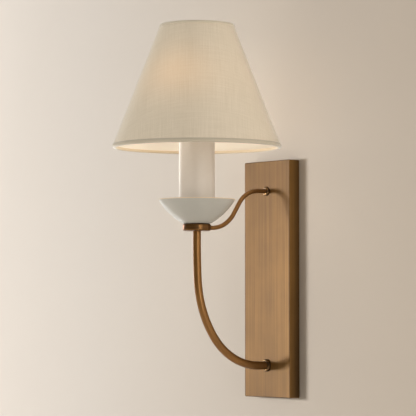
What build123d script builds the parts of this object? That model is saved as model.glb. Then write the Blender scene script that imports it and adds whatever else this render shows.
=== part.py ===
from build123d import *
import os
from math import acos, atan2, cos, degrees, hypot, radians, sin, sqrt, tan

os.makedirs("parts", exist_ok=True)

# ---------------------------------------------------------------------------------------
# Wall light with a fabric shade. Millimetres.
# The wall is the plane Y = 0, the room is towards -Y, X runs to the right and Z up.
# The origin lies on the wall at the middle of the backplate.
# ---------------------------------------------------------------------------------------

# Backplate cover: a shallow pressed box, open at the wall
plate_width = 98.0
plate_height = 323.0
plate_depth = 17.0
plate_wall = 1.6
plate_corner = 2.0  # radius of the four corners, seen from the front
plate_inside_corner = 0.4
plate_edge = 0.8  # rounding round the front face

# Mounting bracket: a steel strap with its two ends turned towards the room
strap_width = 32.0
strap_thickness = 2.0
strap_return = 12.0  # how far the turned ends stand off the wall
strap_play = 0.3  # from each turned end to the inside of the cover
strap_bend = 1.0  # inside radius of the two bends
box_screw_spacing = 88.9
box_slot_length = 14.0
box_slot_radius = 2.3
cable_opening_width = 16.0
cable_opening_length = 24.0
cable_opening_z = 15.0

# Screws that hold the cover to the bracket, countersunk flush in its top and bottom
cover_screw_diameter = 3.0
cover_screw_head = 5.4
cover_screw_cone = 90.0  # angle of the countersunk head
cover_screw_length = 8.0
cover_screw_stand_off = 8.0  # from the wall
thread_play = 0.05  # radial, between a thread and its hole
driver_slot_width = 0.8
driver_slot_depth = 0.9

# Arms
lamp_reach = 137.0  # from the wall to the axis of the candle
lower_arm_inset = 43.5  # from the bottom of the plate up to the arm's axis
lower_arm_diameter = 11.0
lower_arm_bore = 7.6
lower_arm_thread = 10.0
lower_arm_bends = ((95.0, 54.5), (145.0, 32.0), (800.0, 3.5))  # radius and turn, plate to hub
upper_arm_inset = 41.5  # from the top of the plate down to the arm's axis
upper_arm_diameter = 6.0
upper_arm_thread = 5.0
upper_arm_lead = 16.0  # straight length in front of the plate
upper_arm_tail = 6.6  # straight length in front of the hub
upper_arm_steepness = 0.847  # at 1 the two bends meet with no straight between them
upper_arm_plate_share = 0.463  # of the two bend radii, the one next to the plate
upper_arm_socket = 6.0  # how deep the rod goes into the hub

# Turned collars where the arms meet the plate: base and face diameters, depth
lower_collar_base = 17.2
lower_collar_face = 13.6
lower_collar_depth = 4.2
upper_collar_base = 13.0
upper_collar_face = 9.4
upper_collar_depth = 3.6
collar_foot = 0.9  # straight part of a collar next to the plate
collar_play = 0.1

# Nuts and washers on the arms, inside the cover
lower_washer_diameter = 20.0
lower_washer_thickness = 1.0
lower_nut_flats = 14.0
lower_nut_thickness = 3.0
upper_washer_diameter = 12.0
upper_washer_thickness = 0.8
upper_nut_flats = 8.0
upper_nut_thickness = 3.2
thread_tail = 0.6  # thread left beyond each nut
nut_chamfer = 0.4

# Bush in the end of the hollow arm
bush_flange_diameter = 10.0
bush_flange_thickness = 0.8
bush_spigot_length = 3.0
bush_bore = 5.4
bush_play = 0.1

# Hub
hub_diameter = 38.0
hub_bottom_z = 63.0
hub_thickness = 9.6
hub_edge = 2.5
stem_gap = 0.3  # between the arm's thread and the stem, inside the hub

# Drip bowl
bowl_washer_diameter = 30.0
bowl_washer_thickness = 0.5
bowl_foot_diameter = 38.0
bowl_rim_diameter = 102.0
bowl_rim_z = 104.6
bowl_wall = 1.4  # the same all over, floor and side
bowl_side_radius = 85.0

# Candle sleeve and what locates it
sleeve_diameter = 48.0
sleeve_wall = 1.5
sleeve_top_z = 226.6
sleeve_seat_margin = 0.3  # from the foot of the sleeve sideways to the bowl
centring_washer_thickness = 1.5
centring_step_play = 0.8  # round the washer's lower step, in the bowl's floor
lock_nut_flats = 17.0
lock_nut_thickness = 4.0

# Lampholder
skirt_diameter = 39.6
skirt_wall = 2.2
skirt_edge = 0.5
skirt_above = 16.0  # above the top of the sleeve
skirt_below = 33.0
holder_flange_thickness = 3.0
holder_play = 0.2
base_wall = 1.9
base_height = 24.0
base_overlap = 6.0  # of the base over the shell
base_edge = 0.6
base_boss_diameter = 16.0
base_boss_height = 7.0
stem_into_base = 5.0
insulator_above_shell = 5.0
insulator_height = 25.0
insulator_floor = 5.0
screw_shell_bore = 27.0
screw_shell_wall = 0.5
screw_shell_height = 18.0
contact_rise = 1.4
contact_width = 5.0
contact_thickness = 0.5
terminal_size = 6.0
terminal_offset = 8.0
terminal_screw_diameter = 2.6

# Bulb
bulb_diameter = 37.0
bulb_length = 98.0
bulb_belly = 52.0  # from the end contact up to the widest place
bulb_glass = 0.8
bulb_tip_radius = 3.8
bulb_cap_diameter = 26.4
bulb_cap_length = 21.0
bulb_cap_wall = 0.5
bulb_neck_depth = 5.0  # how deep the glass goes into the cap
bulb_insulator_height = 2.6
bulb_contact_diameter = 9.6
bulb_contact_thickness = 0.7
bulb_play = 0.3

# Shade, fitter and ring nut
shade_bottom_diameter = 228.6
shade_top_diameter = 99.0
shade_bottom_z = 175.0
shade_height = 166.5
cloth_thickness = 0.8
liner_thickness = 0.5
glue_gap = 0.05
trim_thickness = 0.6
bottom_trim_band = 5.0  # how far each trim covers the cloth outside
top_trim_band = 4.5
bottom_trim_lap = 4.8  # how far each trim turns back behind the wire
top_trim_lap = 3.3
shade_wire = 3.0
fitter_diameter = 52.0
fitter_thickness = 1.6
fitter_play = 0.4  # radial, round the lampholder's skirt
spoke_diameter = 2.6
spoke_foot = 3.5
spoke_bend = 4.0
spoke_count = 3
weld_gap = 0.2  # from the end of a spoke to the top ring
seat_gap = 0.3  # between pieces that come apart
ring_nut_diameter = 50.0
ring_nut_flange = 1.8
ring_nut_height = 8.5
ring_nut_grip = 46.0
ring_nut_play = 0.2
ring_nut_flutes = 24
ring_nut_flute_radius = 2.0

# Wiring
wire_diameter = 2.0
wire_spread = 1.25  # of each wire from the middle of the tube
wire_bend_side = 12.0
wire_end_straight = 1.0
block_ways = 3
block_pitch = 9.0
block_length = 16.0
block_height = 10.0
block_slab = 5.0
block_axis_height = 3.0
block_bore = 2.8
block_z = -16.0
block_screw_diameter = 3.0
block_screw_length = 5.0
block_tower = 7.4
block_tower_edge = 1.5
block_fixing_head = 5.0
block_fixing_head_height = 1.8
wire_into_block = 5.0
earth_screw_z = -66.0
earth_screw_diameter = 4.0
earth_screw_head = 7.6
earth_screw_head_height = 2.4
earth_screw_head_edge = 0.8
lug_diameter = 8.4
lug_thickness = 0.8
lug_barrel = 3.4
lug_barrel_length = 6.0
lug_gap = 1.0

# ---------------------------------------------------------------------------------------
# Places worked out from the driving dimensions
# ---------------------------------------------------------------------------------------

lamp_axis = Axis((0, -lamp_reach, 0), (0, 0, 1))
lamp_plane = Plane.XZ.offset(lamp_reach)  # local x is the radius, local y is Z
arm_plane = Plane(origin=(0, 0, 0), x_dir=(0, -1, 0), z_dir=(-1, 0, 0))  # x off the wall, y up
plate_inside = plate_depth - plate_wall
lower_arm_z = lower_arm_inset - plate_height / 2
upper_arm_z = plate_height / 2 - upper_arm_inset
hub_top_z = hub_bottom_z + hub_thickness
hub_middle_z = hub_bottom_z + hub_thickness / 2
bowl_foot_z = hub_top_z + bowl_washer_thickness
sleeve_inside = sleeve_diameter / 2 - sleeve_wall
seat_radius = sleeve_diameter / 2 + sleeve_seat_margin
stem_radius = lower_arm_thread / 2
skirt_radius = skirt_diameter / 2
skirt_inside = skirt_radius - skirt_wall
shell_bottom_z = sleeve_top_z - skirt_below
base_top_z = shell_bottom_z + base_overlap
base_bottom_z = base_top_z - base_height
stem_top_z = base_bottom_z + stem_into_base
insulator_bottom_z = shell_bottom_z + insulator_above_shell
insulator_floor_z = insulator_bottom_z + insulator_floor
bulb_bottom_z = insulator_floor_z + contact_rise + contact_thickness + bulb_play
lower_arm_end = plate_inside - lower_washer_thickness - lower_nut_thickness - thread_tail
upper_arm_end = plate_inside - upper_washer_thickness - upper_nut_thickness - thread_tail
bush_face = lower_arm_end - bush_flange_thickness
wire_stand_off = strap_thickness + block_axis_height
wire_bend = bush_face - wire_stand_off
block_bottom_z = block_z - block_length / 2


def save(builder, name):
    """Label one finished piece and write it to its own file."""
    builder.part.label = name
    export_step(builder.part, f"parts/{name}.step")


def level(z):
    """The horizontal plane on the candle's axis at height z."""
    return Plane((0, -lamp_reach, z))


# ---------------------------------------------------------------------------------------
# Backplate cover, bracket and their screws
# ---------------------------------------------------------------------------------------

with BuildPart() as backplate_cover:
    with BuildSketch(Plane.XZ):
        RectangleRounded(plate_width, plate_height, plate_corner)
    extrude(amount=plate_depth)
    fillet(faces().sort_by(Axis.Y)[0].edges(), plate_edge)
    with BuildSketch(Plane.XZ):
        RectangleRounded(plate_width - 2 * plate_wall, plate_height - 2 * plate_wall, plate_inside_corner)
    extrude(amount=plate_inside, mode=Mode.SUBTRACT)
    with BuildSketch(Plane.XZ):
        with Locations((0, lower_arm_z)):
            Circle(lower_arm_thread / 2 + thread_play)
        with Locations((0, upper_arm_z)):
            Circle(upper_arm_thread / 2 + thread_play)
    extrude(amount=plate_depth, mode=Mode.SUBTRACT)
    for end in (1, -1):
        with Locations(Location((0, -cover_screw_stand_off, end * plate_height / 2), (90 - 90 * end, 0, 0))):
            CounterSinkHole(
                cover_screw_diameter / 2 + thread_play,
                cover_screw_head / 2 + thread_play,
                depth=2 * plate_wall,
                counter_sink_angle=cover_screw_cone,
            )
save(backplate_cover, "backplate_cover")

strap_end_z = plate_height / 2 - plate_wall - strap_play

with BuildPart() as mounting_bracket:
    with BuildSketch(Plane.YZ) as strap_profile:
        with Locations((-strap_return / 2, 0)):
            Rectangle(strap_return, 2 * strap_end_z)
        with Locations((-strap_thickness - strap_return / 2, 0)):
            Rectangle(strap_return, 2 * (strap_end_z - strap_thickness), mode=Mode.SUBTRACT)
        fillet(strap_profile.vertices().sort_by(Axis.X)[-2:], strap_bend + strap_thickness)
        inner_corners = [v for v in strap_profile.vertices() if abs(v.X + strap_thickness) < 1e-6]
        fillet(inner_corners, strap_bend)
    extrude(amount=strap_width / 2, both=True)
    with BuildSketch(Plane.XZ):
        with GridLocations(0, box_screw_spacing, 1, 2):
            SlotOverall(box_slot_length, 2 * box_slot_radius, rotation=90)
        with Locations((0, cable_opening_z)):
            SlotOverall(cable_opening_length, cable_opening_width, rotation=90)
        with Locations((0, earth_screw_z)):
            Circle(earth_screw_diameter / 2 + thread_play)
        with Locations((block_pitch / 2, block_z)):
            Circle(block_screw_diameter / 2 + thread_play)
    extrude(amount=strap_thickness, mode=Mode.SUBTRACT)
    with Locations((0, -cover_screw_stand_off, strap_end_z)):
        Hole(cover_screw_diameter / 2 + thread_play, depth=strap_thickness)
    with Locations((0, -cover_screw_stand_off, strap_thickness - strap_end_z)):
        Hole(cover_screw_diameter / 2 + thread_play, depth=strap_thickness)
    fillet(mounting_bracket.edges().filter_by(Axis.Z).group_by(Axis.Y)[0], strap_bend)
save(mounting_bracket, "mounting_bracket")

with BuildPart() as cover_screws:
    head_depth = (cover_screw_head - cover_screw_diameter) / 2 / tan(radians(cover_screw_cone / 2))
    with BuildSketch(Plane.XZ.offset(cover_screw_stand_off)):
        with BuildLine():
            Polyline(
                (0, plate_height / 2),
                (cover_screw_head / 2, plate_height / 2),
                (cover_screw_diameter / 2, plate_height / 2 - head_depth),
                (cover_screw_diameter / 2, plate_height / 2 - cover_screw_length),
                (0, plate_height / 2 - cover_screw_length),
                close=True,
            )
        make_face()
    revolve(axis=Axis((0, -cover_screw_stand_off, 0), (0, 0, 1)))
    with BuildSketch(Plane((0, -cover_screw_stand_off, plate_height / 2))):
        Rectangle(cover_screw_head, driver_slot_width)
    extrude(amount=-driver_slot_depth, mode=Mode.SUBTRACT)
    mirror(about=Plane.XY)
save(cover_screws, "cover_screws")

# ---------------------------------------------------------------------------------------
# Arms
# ---------------------------------------------------------------------------------------


def lower_arm_route(first, last, side=0.0):
    """Centre line of the lower arm, from a distance off the wall to a height, moved sideways in X."""
    heading = 0.0
    run = 0.0
    for radius, turn in lower_arm_bends:
        run += radius * (sin(radians(heading + turn)) - sin(radians(heading)))
        heading += turn
    with BuildLine(arm_plane.offset(-side)) as route:
        piece = Line((first, lower_arm_z), (lamp_reach - run, lower_arm_z))
        for radius, turn in lower_arm_bends:
            piece = JernArc(piece @ 1, piece % 1, radius, turn)
        Line(piece @ 1, (lamp_reach, last))
    return route.wire()


def across(route):
    """The plane across the start of a route."""
    return Plane(route @ 0, z_dir=route % 0)


arm_thread_top = hub_middle_z - stem_gap / 2

with BuildPart() as lower_arm:
    visible_arm = lower_arm_route(plate_depth, hub_bottom_z)
    with BuildSketch(across(visible_arm)):
        Circle(lower_arm_diameter / 2)
    sweep(path=visible_arm)
    with BuildSketch(Plane.XZ.offset(lower_arm_end)):
        with Locations((0, lower_arm_z)):
            Circle(lower_arm_thread / 2)
    extrude(amount=plate_depth - lower_arm_end)
    with BuildSketch(level(hub_bottom_z)):
        Circle(lower_arm_thread / 2)
    extrude(amount=arm_thread_top - hub_bottom_z)
    whole_arm = lower_arm_route(lower_arm_end, arm_thread_top)
    with BuildSketch(across(whole_arm)):
        Circle(lower_arm_bore / 2)
    sweep(path=whole_arm, mode=Mode.SUBTRACT)
save(lower_arm, "lower_arm")

hub_radius = hub_diameter / 2
hub_side = lamp_reach - hub_radius
rod_run = hub_side - upper_arm_tail - upper_arm_lead - plate_depth
rod_fall = upper_arm_z - hub_middle_z
slope = 2 * upper_arm_steepness * atan2(rod_fall, rod_run)
bend_radii = (rod_run * sin(slope) - rod_fall * cos(slope)) / (1 - cos(slope))
slope_length = (rod_run - bend_radii * sin(slope)) / cos(slope)

with BuildPart() as upper_arm:
    with BuildLine(arm_plane) as rod_line:
        lead = Line((plate_depth, upper_arm_z), (plate_depth + upper_arm_lead, upper_arm_z))
        fall = JernArc(lead @ 1, lead % 1, bend_radii * upper_arm_plate_share, -degrees(slope))
        ramp = Line(fall @ 1, (fall @ 1) + (fall % 1) * slope_length)
        level_out = JernArc(ramp @ 1, ramp % 1, bend_radii * (1 - upper_arm_plate_share), degrees(slope))
        Line(level_out @ 1, (hub_side, hub_middle_z))
    rod_route = rod_line.wire()
    with BuildSketch(across(rod_route)):
        Circle(upper_arm_diameter / 2)
    sweep(path=rod_route)
    with BuildSketch(Plane.XZ.offset(upper_arm_end)):
        with Locations((0, upper_arm_z)):
            Circle(upper_arm_thread / 2)
    extrude(amount=plate_depth - upper_arm_end)
    with BuildSketch(Plane.XZ.offset(hub_side)):
        with Locations((0, hub_middle_z)):
            Circle(upper_arm_thread / 2)
    extrude(amount=upper_arm_socket)
save(upper_arm, "upper_arm")


def collar(z, base, face, depth, bore):
    """A turned collar on the plate: a short foot, then a round shoulder up to its face."""
    with BuildPart() as turned:
        with BuildSketch(arm_plane):
            with BuildLine():
                foot_end = (plate_depth + collar_foot, z + base / 2)
                shoulder = (plate_depth + depth, z + face / 2)
                Polyline((plate_depth, z + bore / 2), (plate_depth, z + base / 2), foot_end)
                TangentArc(foot_end, shoulder, tangent=Vector(1, 0))
                Polyline(shoulder, (plate_depth + depth, z + bore / 2), (plate_depth, z + bore / 2))
            make_face()
        revolve(axis=Axis((0, 0, z), (0, -1, 0)))
    return turned


lower_collar = collar(
    lower_arm_z,
    lower_collar_base,
    lower_collar_face,
    lower_collar_depth,
    lower_arm_diameter + 2 * collar_play,
)
save(lower_collar, "lower_collar")

upper_collar = collar(
    upper_arm_z,
    upper_collar_base,
    upper_collar_face,
    upper_collar_depth,
    upper_arm_diameter + 2 * collar_play,
)
save(upper_collar, "upper_collar")


def hex_nut(plane, flats, thickness, bore_radius):
    """A hexagon nut with chamfered corners that grows from the plane along its normal."""
    with BuildPart() as nut:
        with BuildSketch(plane):
            Circle(flats / sqrt(3))
        extrude(amount=thickness)
        chamfer(nut.edges().filter_by(GeomType.CIRCLE), nut_chamfer)
        with BuildSketch(plane):
            RegularPolygon(flats / 2, 6, major_radius=False)
        extrude(amount=thickness, mode=Mode.INTERSECT)
        with BuildSketch(plane):
            Circle(bore_radius)
        extrude(amount=thickness, mode=Mode.SUBTRACT)
    return nut


def washer(plane, diameter, thickness, bore_radius):
    """A flat washer that grows from the plane along its normal."""
    with BuildPart() as disc:
        with BuildSketch(plane):
            Circle(diameter / 2)
            Circle(bore_radius, mode=Mode.SUBTRACT)
        extrude(amount=thickness)
    return disc


def inside_cover(z, stand_off):
    """A plane parallel to the wall, facing it, at a height and a distance off the wall."""
    return Plane(origin=(0, -stand_off, z), x_dir=(-1, 0, 0), z_dir=(0, 1, 0))


lower_arm_washer = washer(
    inside_cover(lower_arm_z, plate_inside),
    lower_washer_diameter,
    lower_washer_thickness,
    lower_arm_thread / 2 + thread_play,
)
save(lower_arm_washer, "lower_arm_washer")

lower_arm_nut = hex_nut(
    inside_cover(lower_arm_z, plate_inside - lower_washer_thickness),
    lower_nut_flats,
    lower_nut_thickness,
    lower_arm_thread / 2 + thread_play,
)
save(lower_arm_nut, "lower_arm_nut")

upper_arm_washer = washer(
    inside_cover(upper_arm_z, plate_inside),
    upper_washer_diameter,
    upper_washer_thickness,
    upper_arm_thread / 2 + thread_play,
)
save(upper_arm_washer, "upper_arm_washer")

upper_arm_nut = hex_nut(
    inside_cover(upper_arm_z, plate_inside - upper_washer_thickness),
    upper_nut_flats,
    upper_nut_thickness,
    upper_arm_thread / 2 + thread_play,
)
save(upper_arm_nut, "upper_arm_nut")

with BuildPart() as arm_bush:
    with BuildSketch(Plane.XZ.offset(bush_face)):
        with Locations((0, lower_arm_z)):
            Circle(bush_flange_diameter / 2)
    extrude(amount=bush_flange_thickness)
    with BuildSketch(Plane.XZ.offset(lower_arm_end)):
        with Locations((0, lower_arm_z)):
            Circle(lower_arm_bore / 2 - bush_play)
    extrude(amount=bush_spigot_length)
    with BuildSketch(Plane.XZ.offset(bush_face)):
        with Locations((0, lower_arm_z)):
            Circle(bush_bore / 2)
    extrude(amount=bush_flange_thickness + bush_spigot_length, mode=Mode.SUBTRACT)
save(arm_bush, "arm_bush")

# ---------------------------------------------------------------------------------------
# Hub, stem and drip bowl
# ---------------------------------------------------------------------------------------

with BuildPart() as hub:
    with BuildSketch(level(hub_bottom_z)):
        Circle(hub_radius)
    extrude(amount=hub_thickness)
    fillet(hub.edges().filter_by(GeomType.CIRCLE), hub_edge)
    with BuildSketch(level(hub_bottom_z)):
        Circle(stem_radius + thread_play)
    extrude(amount=hub_thickness, mode=Mode.SUBTRACT)
    with BuildSketch(Plane.XZ.offset(hub_side)):
        with Locations((0, hub_middle_z)):
            Circle(upper_arm_thread / 2 + thread_play)
    extrude(amount=upper_arm_socket + thread_play, mode=Mode.SUBTRACT)
save(hub, "hub")

with BuildPart() as threaded_stem:
    stem_bottom_z = hub_middle_z + stem_gap / 2
    with BuildSketch(level(stem_bottom_z)):
        Circle(stem_radius)
        Circle(lower_arm_bore / 2, mode=Mode.SUBTRACT)
    extrude(amount=stem_top_z - stem_bottom_z)
save(threaded_stem, "threaded_stem")

bowl_washer = washer(
    level(hub_top_z), bowl_washer_diameter, bowl_washer_thickness, stem_radius + holder_play
)
save(bowl_washer, "bowl_washer")

bowl_foot = bowl_foot_diameter / 2
bowl_rim = bowl_rim_diameter / 2
bowl_chord = hypot(bowl_rim - bowl_foot, bowl_rim_z - bowl_foot_z)
bowl_sag = sqrt(bowl_side_radius**2 - (bowl_chord / 2) ** 2)
bowl_centre = (
    (bowl_foot + bowl_rim) / 2 - bowl_sag * (bowl_rim_z - bowl_foot_z) / bowl_chord,
    (bowl_foot_z + bowl_rim_z) / 2 + bowl_sag * (bowl_rim - bowl_foot) / bowl_chord,
)
bowl_inside_radius = bowl_side_radius - bowl_wall
bowl_floor_z = bowl_foot_z + bowl_wall
bowl_floor = bowl_centre[0] + sqrt(bowl_inside_radius**2 - (bowl_centre[1] - bowl_floor_z) ** 2)
seat_z = bowl_centre[1] - sqrt(bowl_inside_radius**2 - (seat_radius - bowl_centre[0]) ** 2)

with BuildPart() as drip_bowl:
    foot = (bowl_foot, bowl_foot_z)
    rim = (bowl_rim, bowl_rim_z)
    inward = (
        (bowl_centre[0] - bowl_rim) / bowl_side_radius,
        (bowl_centre[1] - bowl_rim_z) / bowl_side_radius,
    )
    inner_rim = (bowl_rim + bowl_wall * inward[0], bowl_rim_z + bowl_wall * inward[1])
    crest = (
        (rim[0] + inner_rim[0]) / 2 + bowl_wall / 2 * inward[1],
        (rim[1] + inner_rim[1]) / 2 - bowl_wall / 2 * inward[0],
    )
    with BuildSketch(lamp_plane):
        with BuildLine():
            Polyline((0, bowl_foot_z), foot)
            RadiusArc(foot, rim, -bowl_side_radius)
            ThreePointArc(rim, crest, inner_rim)
            RadiusArc(inner_rim, (bowl_floor, bowl_floor_z), bowl_inside_radius)
            Polyline((bowl_floor, bowl_floor_z), (0, bowl_floor_z), (0, bowl_foot_z))
        make_face()
    revolve(axis=lamp_axis)
    with BuildSketch(level(bowl_foot_z)):
        Circle(stem_radius + holder_play)
    extrude(amount=bowl_wall, mode=Mode.SUBTRACT)
save(drip_bowl, "drip_bowl")

with BuildPart() as centring_washer:
    with BuildSketch(level(bowl_floor_z)):
        Circle(bowl_floor - centring_step_play)
    extrude(amount=seat_z - bowl_floor_z)
    with BuildSketch(level(seat_z)):
        Circle(sleeve_inside - holder_play)
    extrude(amount=centring_washer_thickness)
    with BuildSketch(level(bowl_floor_z)):
        Circle(stem_radius + thread_play)
    extrude(amount=seat_z - bowl_floor_z + centring_washer_thickness, mode=Mode.SUBTRACT)
save(centring_washer, "centring_washer")

stem_lock_nut = hex_nut(
    level(seat_z + centring_washer_thickness),
    lock_nut_flats,
    lock_nut_thickness,
    stem_radius + thread_play,
)
save(stem_lock_nut, "stem_lock_nut")

with BuildPart() as candle_sleeve:
    with BuildSketch(level(seat_z)):
        Circle(sleeve_diameter / 2)
        Circle(sleeve_inside, mode=Mode.SUBTRACT)
    extrude(amount=sleeve_top_z - seat_z)
save(candle_sleeve, "candle_sleeve")

# ---------------------------------------------------------------------------------------
# Lampholder
# ---------------------------------------------------------------------------------------

with BuildPart() as lampholder_base:
    base_radius = skirt_radius + thread_play + base_wall
    base_inside = skirt_radius + thread_play
    boss = base_boss_diameter / 2
    shoulder_z = shell_bottom_z - base_wall
    with BuildSketch(lamp_plane):
        with BuildLine():
            Polyline(
                (stem_radius + thread_play, base_bottom_z),
                (boss, base_bottom_z),
                (boss, base_bottom_z + base_boss_height),
                (base_radius, shoulder_z),
                (base_radius, base_top_z),
                (base_inside, base_top_z),
                (base_inside, shell_bottom_z),
                (boss, base_bottom_z + base_boss_height + base_wall),
                (stem_radius + thread_play, base_bottom_z + base_boss_height + base_wall),
                close=True,
            )
        make_face()
    revolve(axis=lamp_axis)
    fillet(lampholder_base.edges().filter_by(GeomType.CIRCLE).group_by(Axis.Z)[0], base_edge)
save(lampholder_base, "lampholder_base")

with BuildPart() as lampholder_shell:
    with BuildSketch(level(shell_bottom_z)):
        Circle(skirt_radius)
    extrude(amount=skirt_below + skirt_above)
    with BuildSketch(level(sleeve_top_z - holder_flange_thickness)):
        Circle(sleeve_inside - holder_play)
    extrude(amount=holder_flange_thickness)
    with BuildSketch(level(shell_bottom_z)):
        Circle(skirt_inside)
    extrude(amount=skirt_below + skirt_above, mode=Mode.SUBTRACT)
    chamfer(lampholder_shell.edges().filter_by(GeomType.CIRCLE).group_by(Axis.Z)[-1], skirt_edge)
save(lampholder_shell, "lampholder_shell")

with BuildPart() as holder_insulator:
    with BuildSketch(level(insulator_bottom_z)):
        Circle(skirt_inside - holder_play / 2)
    extrude(amount=insulator_height)
    with BuildSketch(level(insulator_floor_z)):
        Circle(screw_shell_bore / 2 + screw_shell_wall + holder_play / 2)
    extrude(amount=insulator_height, mode=Mode.SUBTRACT)
save(holder_insulator, "holder_insulator")

with BuildPart() as screw_shell:
    with BuildSketch(level(insulator_floor_z)):
        Circle(screw_shell_bore / 2 + screw_shell_wall)
        Circle(screw_shell_bore / 2, mode=Mode.SUBTRACT)
    extrude(amount=screw_shell_height)
save(screw_shell, "screw_shell")

with BuildPart() as centre_contact:
    contact_reach = bulb_contact_diameter
    with BuildSketch(lamp_plane):
        with BuildLine():
            left = (-contact_reach / 2, insulator_floor_z)
            right = (contact_reach / 2, insulator_floor_z)
            crown_z = insulator_floor_z + contact_rise
            ThreePointArc(left, (0, crown_z), right)
            Line(right, (contact_reach / 2 + contact_thickness, insulator_floor_z))
            ThreePointArc(
                (contact_reach / 2 + contact_thickness, insulator_floor_z),
                (0, crown_z + contact_thickness),
                (-contact_reach / 2 - contact_thickness, insulator_floor_z),
            )
            Line((-contact_reach / 2 - contact_thickness, insulator_floor_z), left)
        make_face()
    extrude(amount=contact_width / 2, both=True)
save(centre_contact, "centre_contact")

terminal_bottom_z = insulator_bottom_z - terminal_size
wire_hole = wire_diameter / 2 + bush_play

with BuildPart() as holder_terminals:
    with BuildSketch(level(terminal_bottom_z)):
        with GridLocations(2 * terminal_offset, 0, 2, 1):
            Rectangle(terminal_size, terminal_size)
    extrude(amount=terminal_size)
    with BuildSketch(level(terminal_bottom_z)):
        with GridLocations(2 * terminal_offset, 0, 2, 1):
            Circle(wire_hole)
    extrude(amount=terminal_size, mode=Mode.SUBTRACT)
    with BuildSketch(lamp_plane.offset(terminal_size / 2)):
        with Locations(
            (terminal_offset, terminal_bottom_z + terminal_size / 2),
            (-terminal_offset, terminal_bottom_z + terminal_size / 2),
        ):
            Circle(terminal_screw_diameter / 2 + thread_play)
    extrude(amount=-terminal_size / 2, mode=Mode.SUBTRACT)
save(holder_terminals, "holder_terminals")

with BuildPart() as holder_terminal_screws:
    with BuildSketch(lamp_plane.offset(wire_hole)):
        with Locations(
            (terminal_offset, terminal_bottom_z + terminal_size / 2),
            (-terminal_offset, terminal_bottom_z + terminal_size / 2),
        ):
            Circle(terminal_screw_diameter / 2)
    extrude(amount=terminal_size / 2)
    with BuildSketch(lamp_plane.offset(wire_hole + terminal_size / 2)):
        with Locations(
            (terminal_offset, terminal_bottom_z + terminal_size / 2),
            (-terminal_offset, terminal_bottom_z + terminal_size / 2),
        ):
            Rectangle(terminal_screw_diameter, driver_slot_width)
    extrude(amount=-driver_slot_depth, mode=Mode.SUBTRACT)
save(holder_terminal_screws, "holder_terminal_screws")

# ---------------------------------------------------------------------------------------
# Wiring
# ---------------------------------------------------------------------------------------


def s_bend(piece, shift, radius):
    """Two equal and opposite arcs after a piece, which move the line sideways by shift."""
    turn = degrees(acos(1 - abs(shift) / (2 * radius)))
    turn = turn if shift > 0 else -turn
    first = JernArc(piece @ 1, piece % 1, radius, turn)
    return JernArc(first @ 1, first % 1, radius, -turn)


def bend_run(shift, radius):
    """How far an s_bend runs along the line that it moves sideways."""
    return 2 * radius * sin(acos(1 - abs(shift) / (2 * radius)))


def supply_route(side):
    """From the terminal block, down to the arm, through it and the stem, up to one terminal."""
    block_shift = block_pitch - wire_spread
    holder_shift = terminal_offset - wire_spread
    corner_z = lower_arm_z + wire_bend
    gather_z = corner_z + wire_bend + bend_run(block_shift, wire_bend_side)
    with BuildLine(Plane.XZ.offset(wire_stand_off)) as cavity:
        drop = Line((side * block_pitch, block_bottom_z + wire_into_block), (side * block_pitch, gather_z))
        gather = s_bend(drop, -side * block_shift, wire_bend_side)
        Line(gather @ 1, (side * wire_spread, corner_z))
    with BuildLine(arm_plane.offset(-side * wire_spread)) as corner:
        JernArc((wire_stand_off, corner_z), (0, -1), wire_bend, 90)
    arm = lower_arm_route(bush_face, stem_top_z + wire_end_straight, side * wire_spread)
    with BuildLine(lamp_plane) as holder:
        start = (side * wire_spread, stem_top_z + wire_end_straight)
        stub = Line(start, (side * wire_spread, start[1] + wire_end_straight))
        spread = s_bend(stub, -side * holder_shift, terminal_size)
        Line(spread @ 1, (side * terminal_offset, terminal_bottom_z + terminal_size / 2))
    return Wire(cavity.edges() + corner.edges() + arm.edges() + holder.edges())


for side, name in ((-1, "live_wire"), (1, "neutral_wire")):
    route = supply_route(side)
    with BuildPart() as supply_wire:
        with BuildSketch(across(route)):
            Circle(wire_diameter / 2)
        sweep(path=route)
    save(supply_wire, name)

with BuildPart() as terminal_block:
    block_front = strap_thickness + block_height
    with BuildSketch(Plane.XZ.offset(strap_thickness)):
        with Locations((0, block_z)):
            Rectangle(block_ways * block_pitch, block_length)
    extrude(amount=block_slab)
    with BuildSketch(Plane.XZ.offset(strap_thickness + block_slab)):
        with Locations((0, block_z)):
            with GridLocations(block_pitch, 0, block_ways, 1):
                Rectangle(block_tower, block_length)
    extrude(amount=block_height - block_slab)
    fillet(terminal_block.edges().filter_by(Axis.Z).group_by(Axis.Y)[0], block_tower_edge)
    with BuildSketch(Plane((0, -wire_stand_off, block_bottom_z))):
        with GridLocations(block_pitch, 0, block_ways, 1):
            Circle(block_bore / 2)
    extrude(amount=block_length, mode=Mode.SUBTRACT)
    with BuildSketch(Plane.XZ.offset(block_front)):
        with Locations((0, block_z)):
            with GridLocations(block_pitch, block_length / 2, block_ways, 2):
                Circle(block_screw_diameter / 2 + thread_play)
    extrude(amount=-block_height + block_axis_height, mode=Mode.SUBTRACT)
    with BuildSketch(Plane.XZ.offset(strap_thickness)):
        with Locations((block_pitch / 2, block_z)):
            Circle(block_screw_diameter / 2 + thread_play)
    extrude(amount=block_slab, mode=Mode.SUBTRACT)
    with BuildSketch(Plane.XZ.offset(strap_thickness + block_slab)):
        with Locations((block_pitch / 2, block_z)):
            Circle(block_fixing_head / 2 + bush_play)
    extrude(amount=block_height - block_slab, mode=Mode.SUBTRACT)
save(terminal_block, "terminal_block")

block_screw_foot = wire_stand_off + wire_diameter / 2 + bush_play

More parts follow.
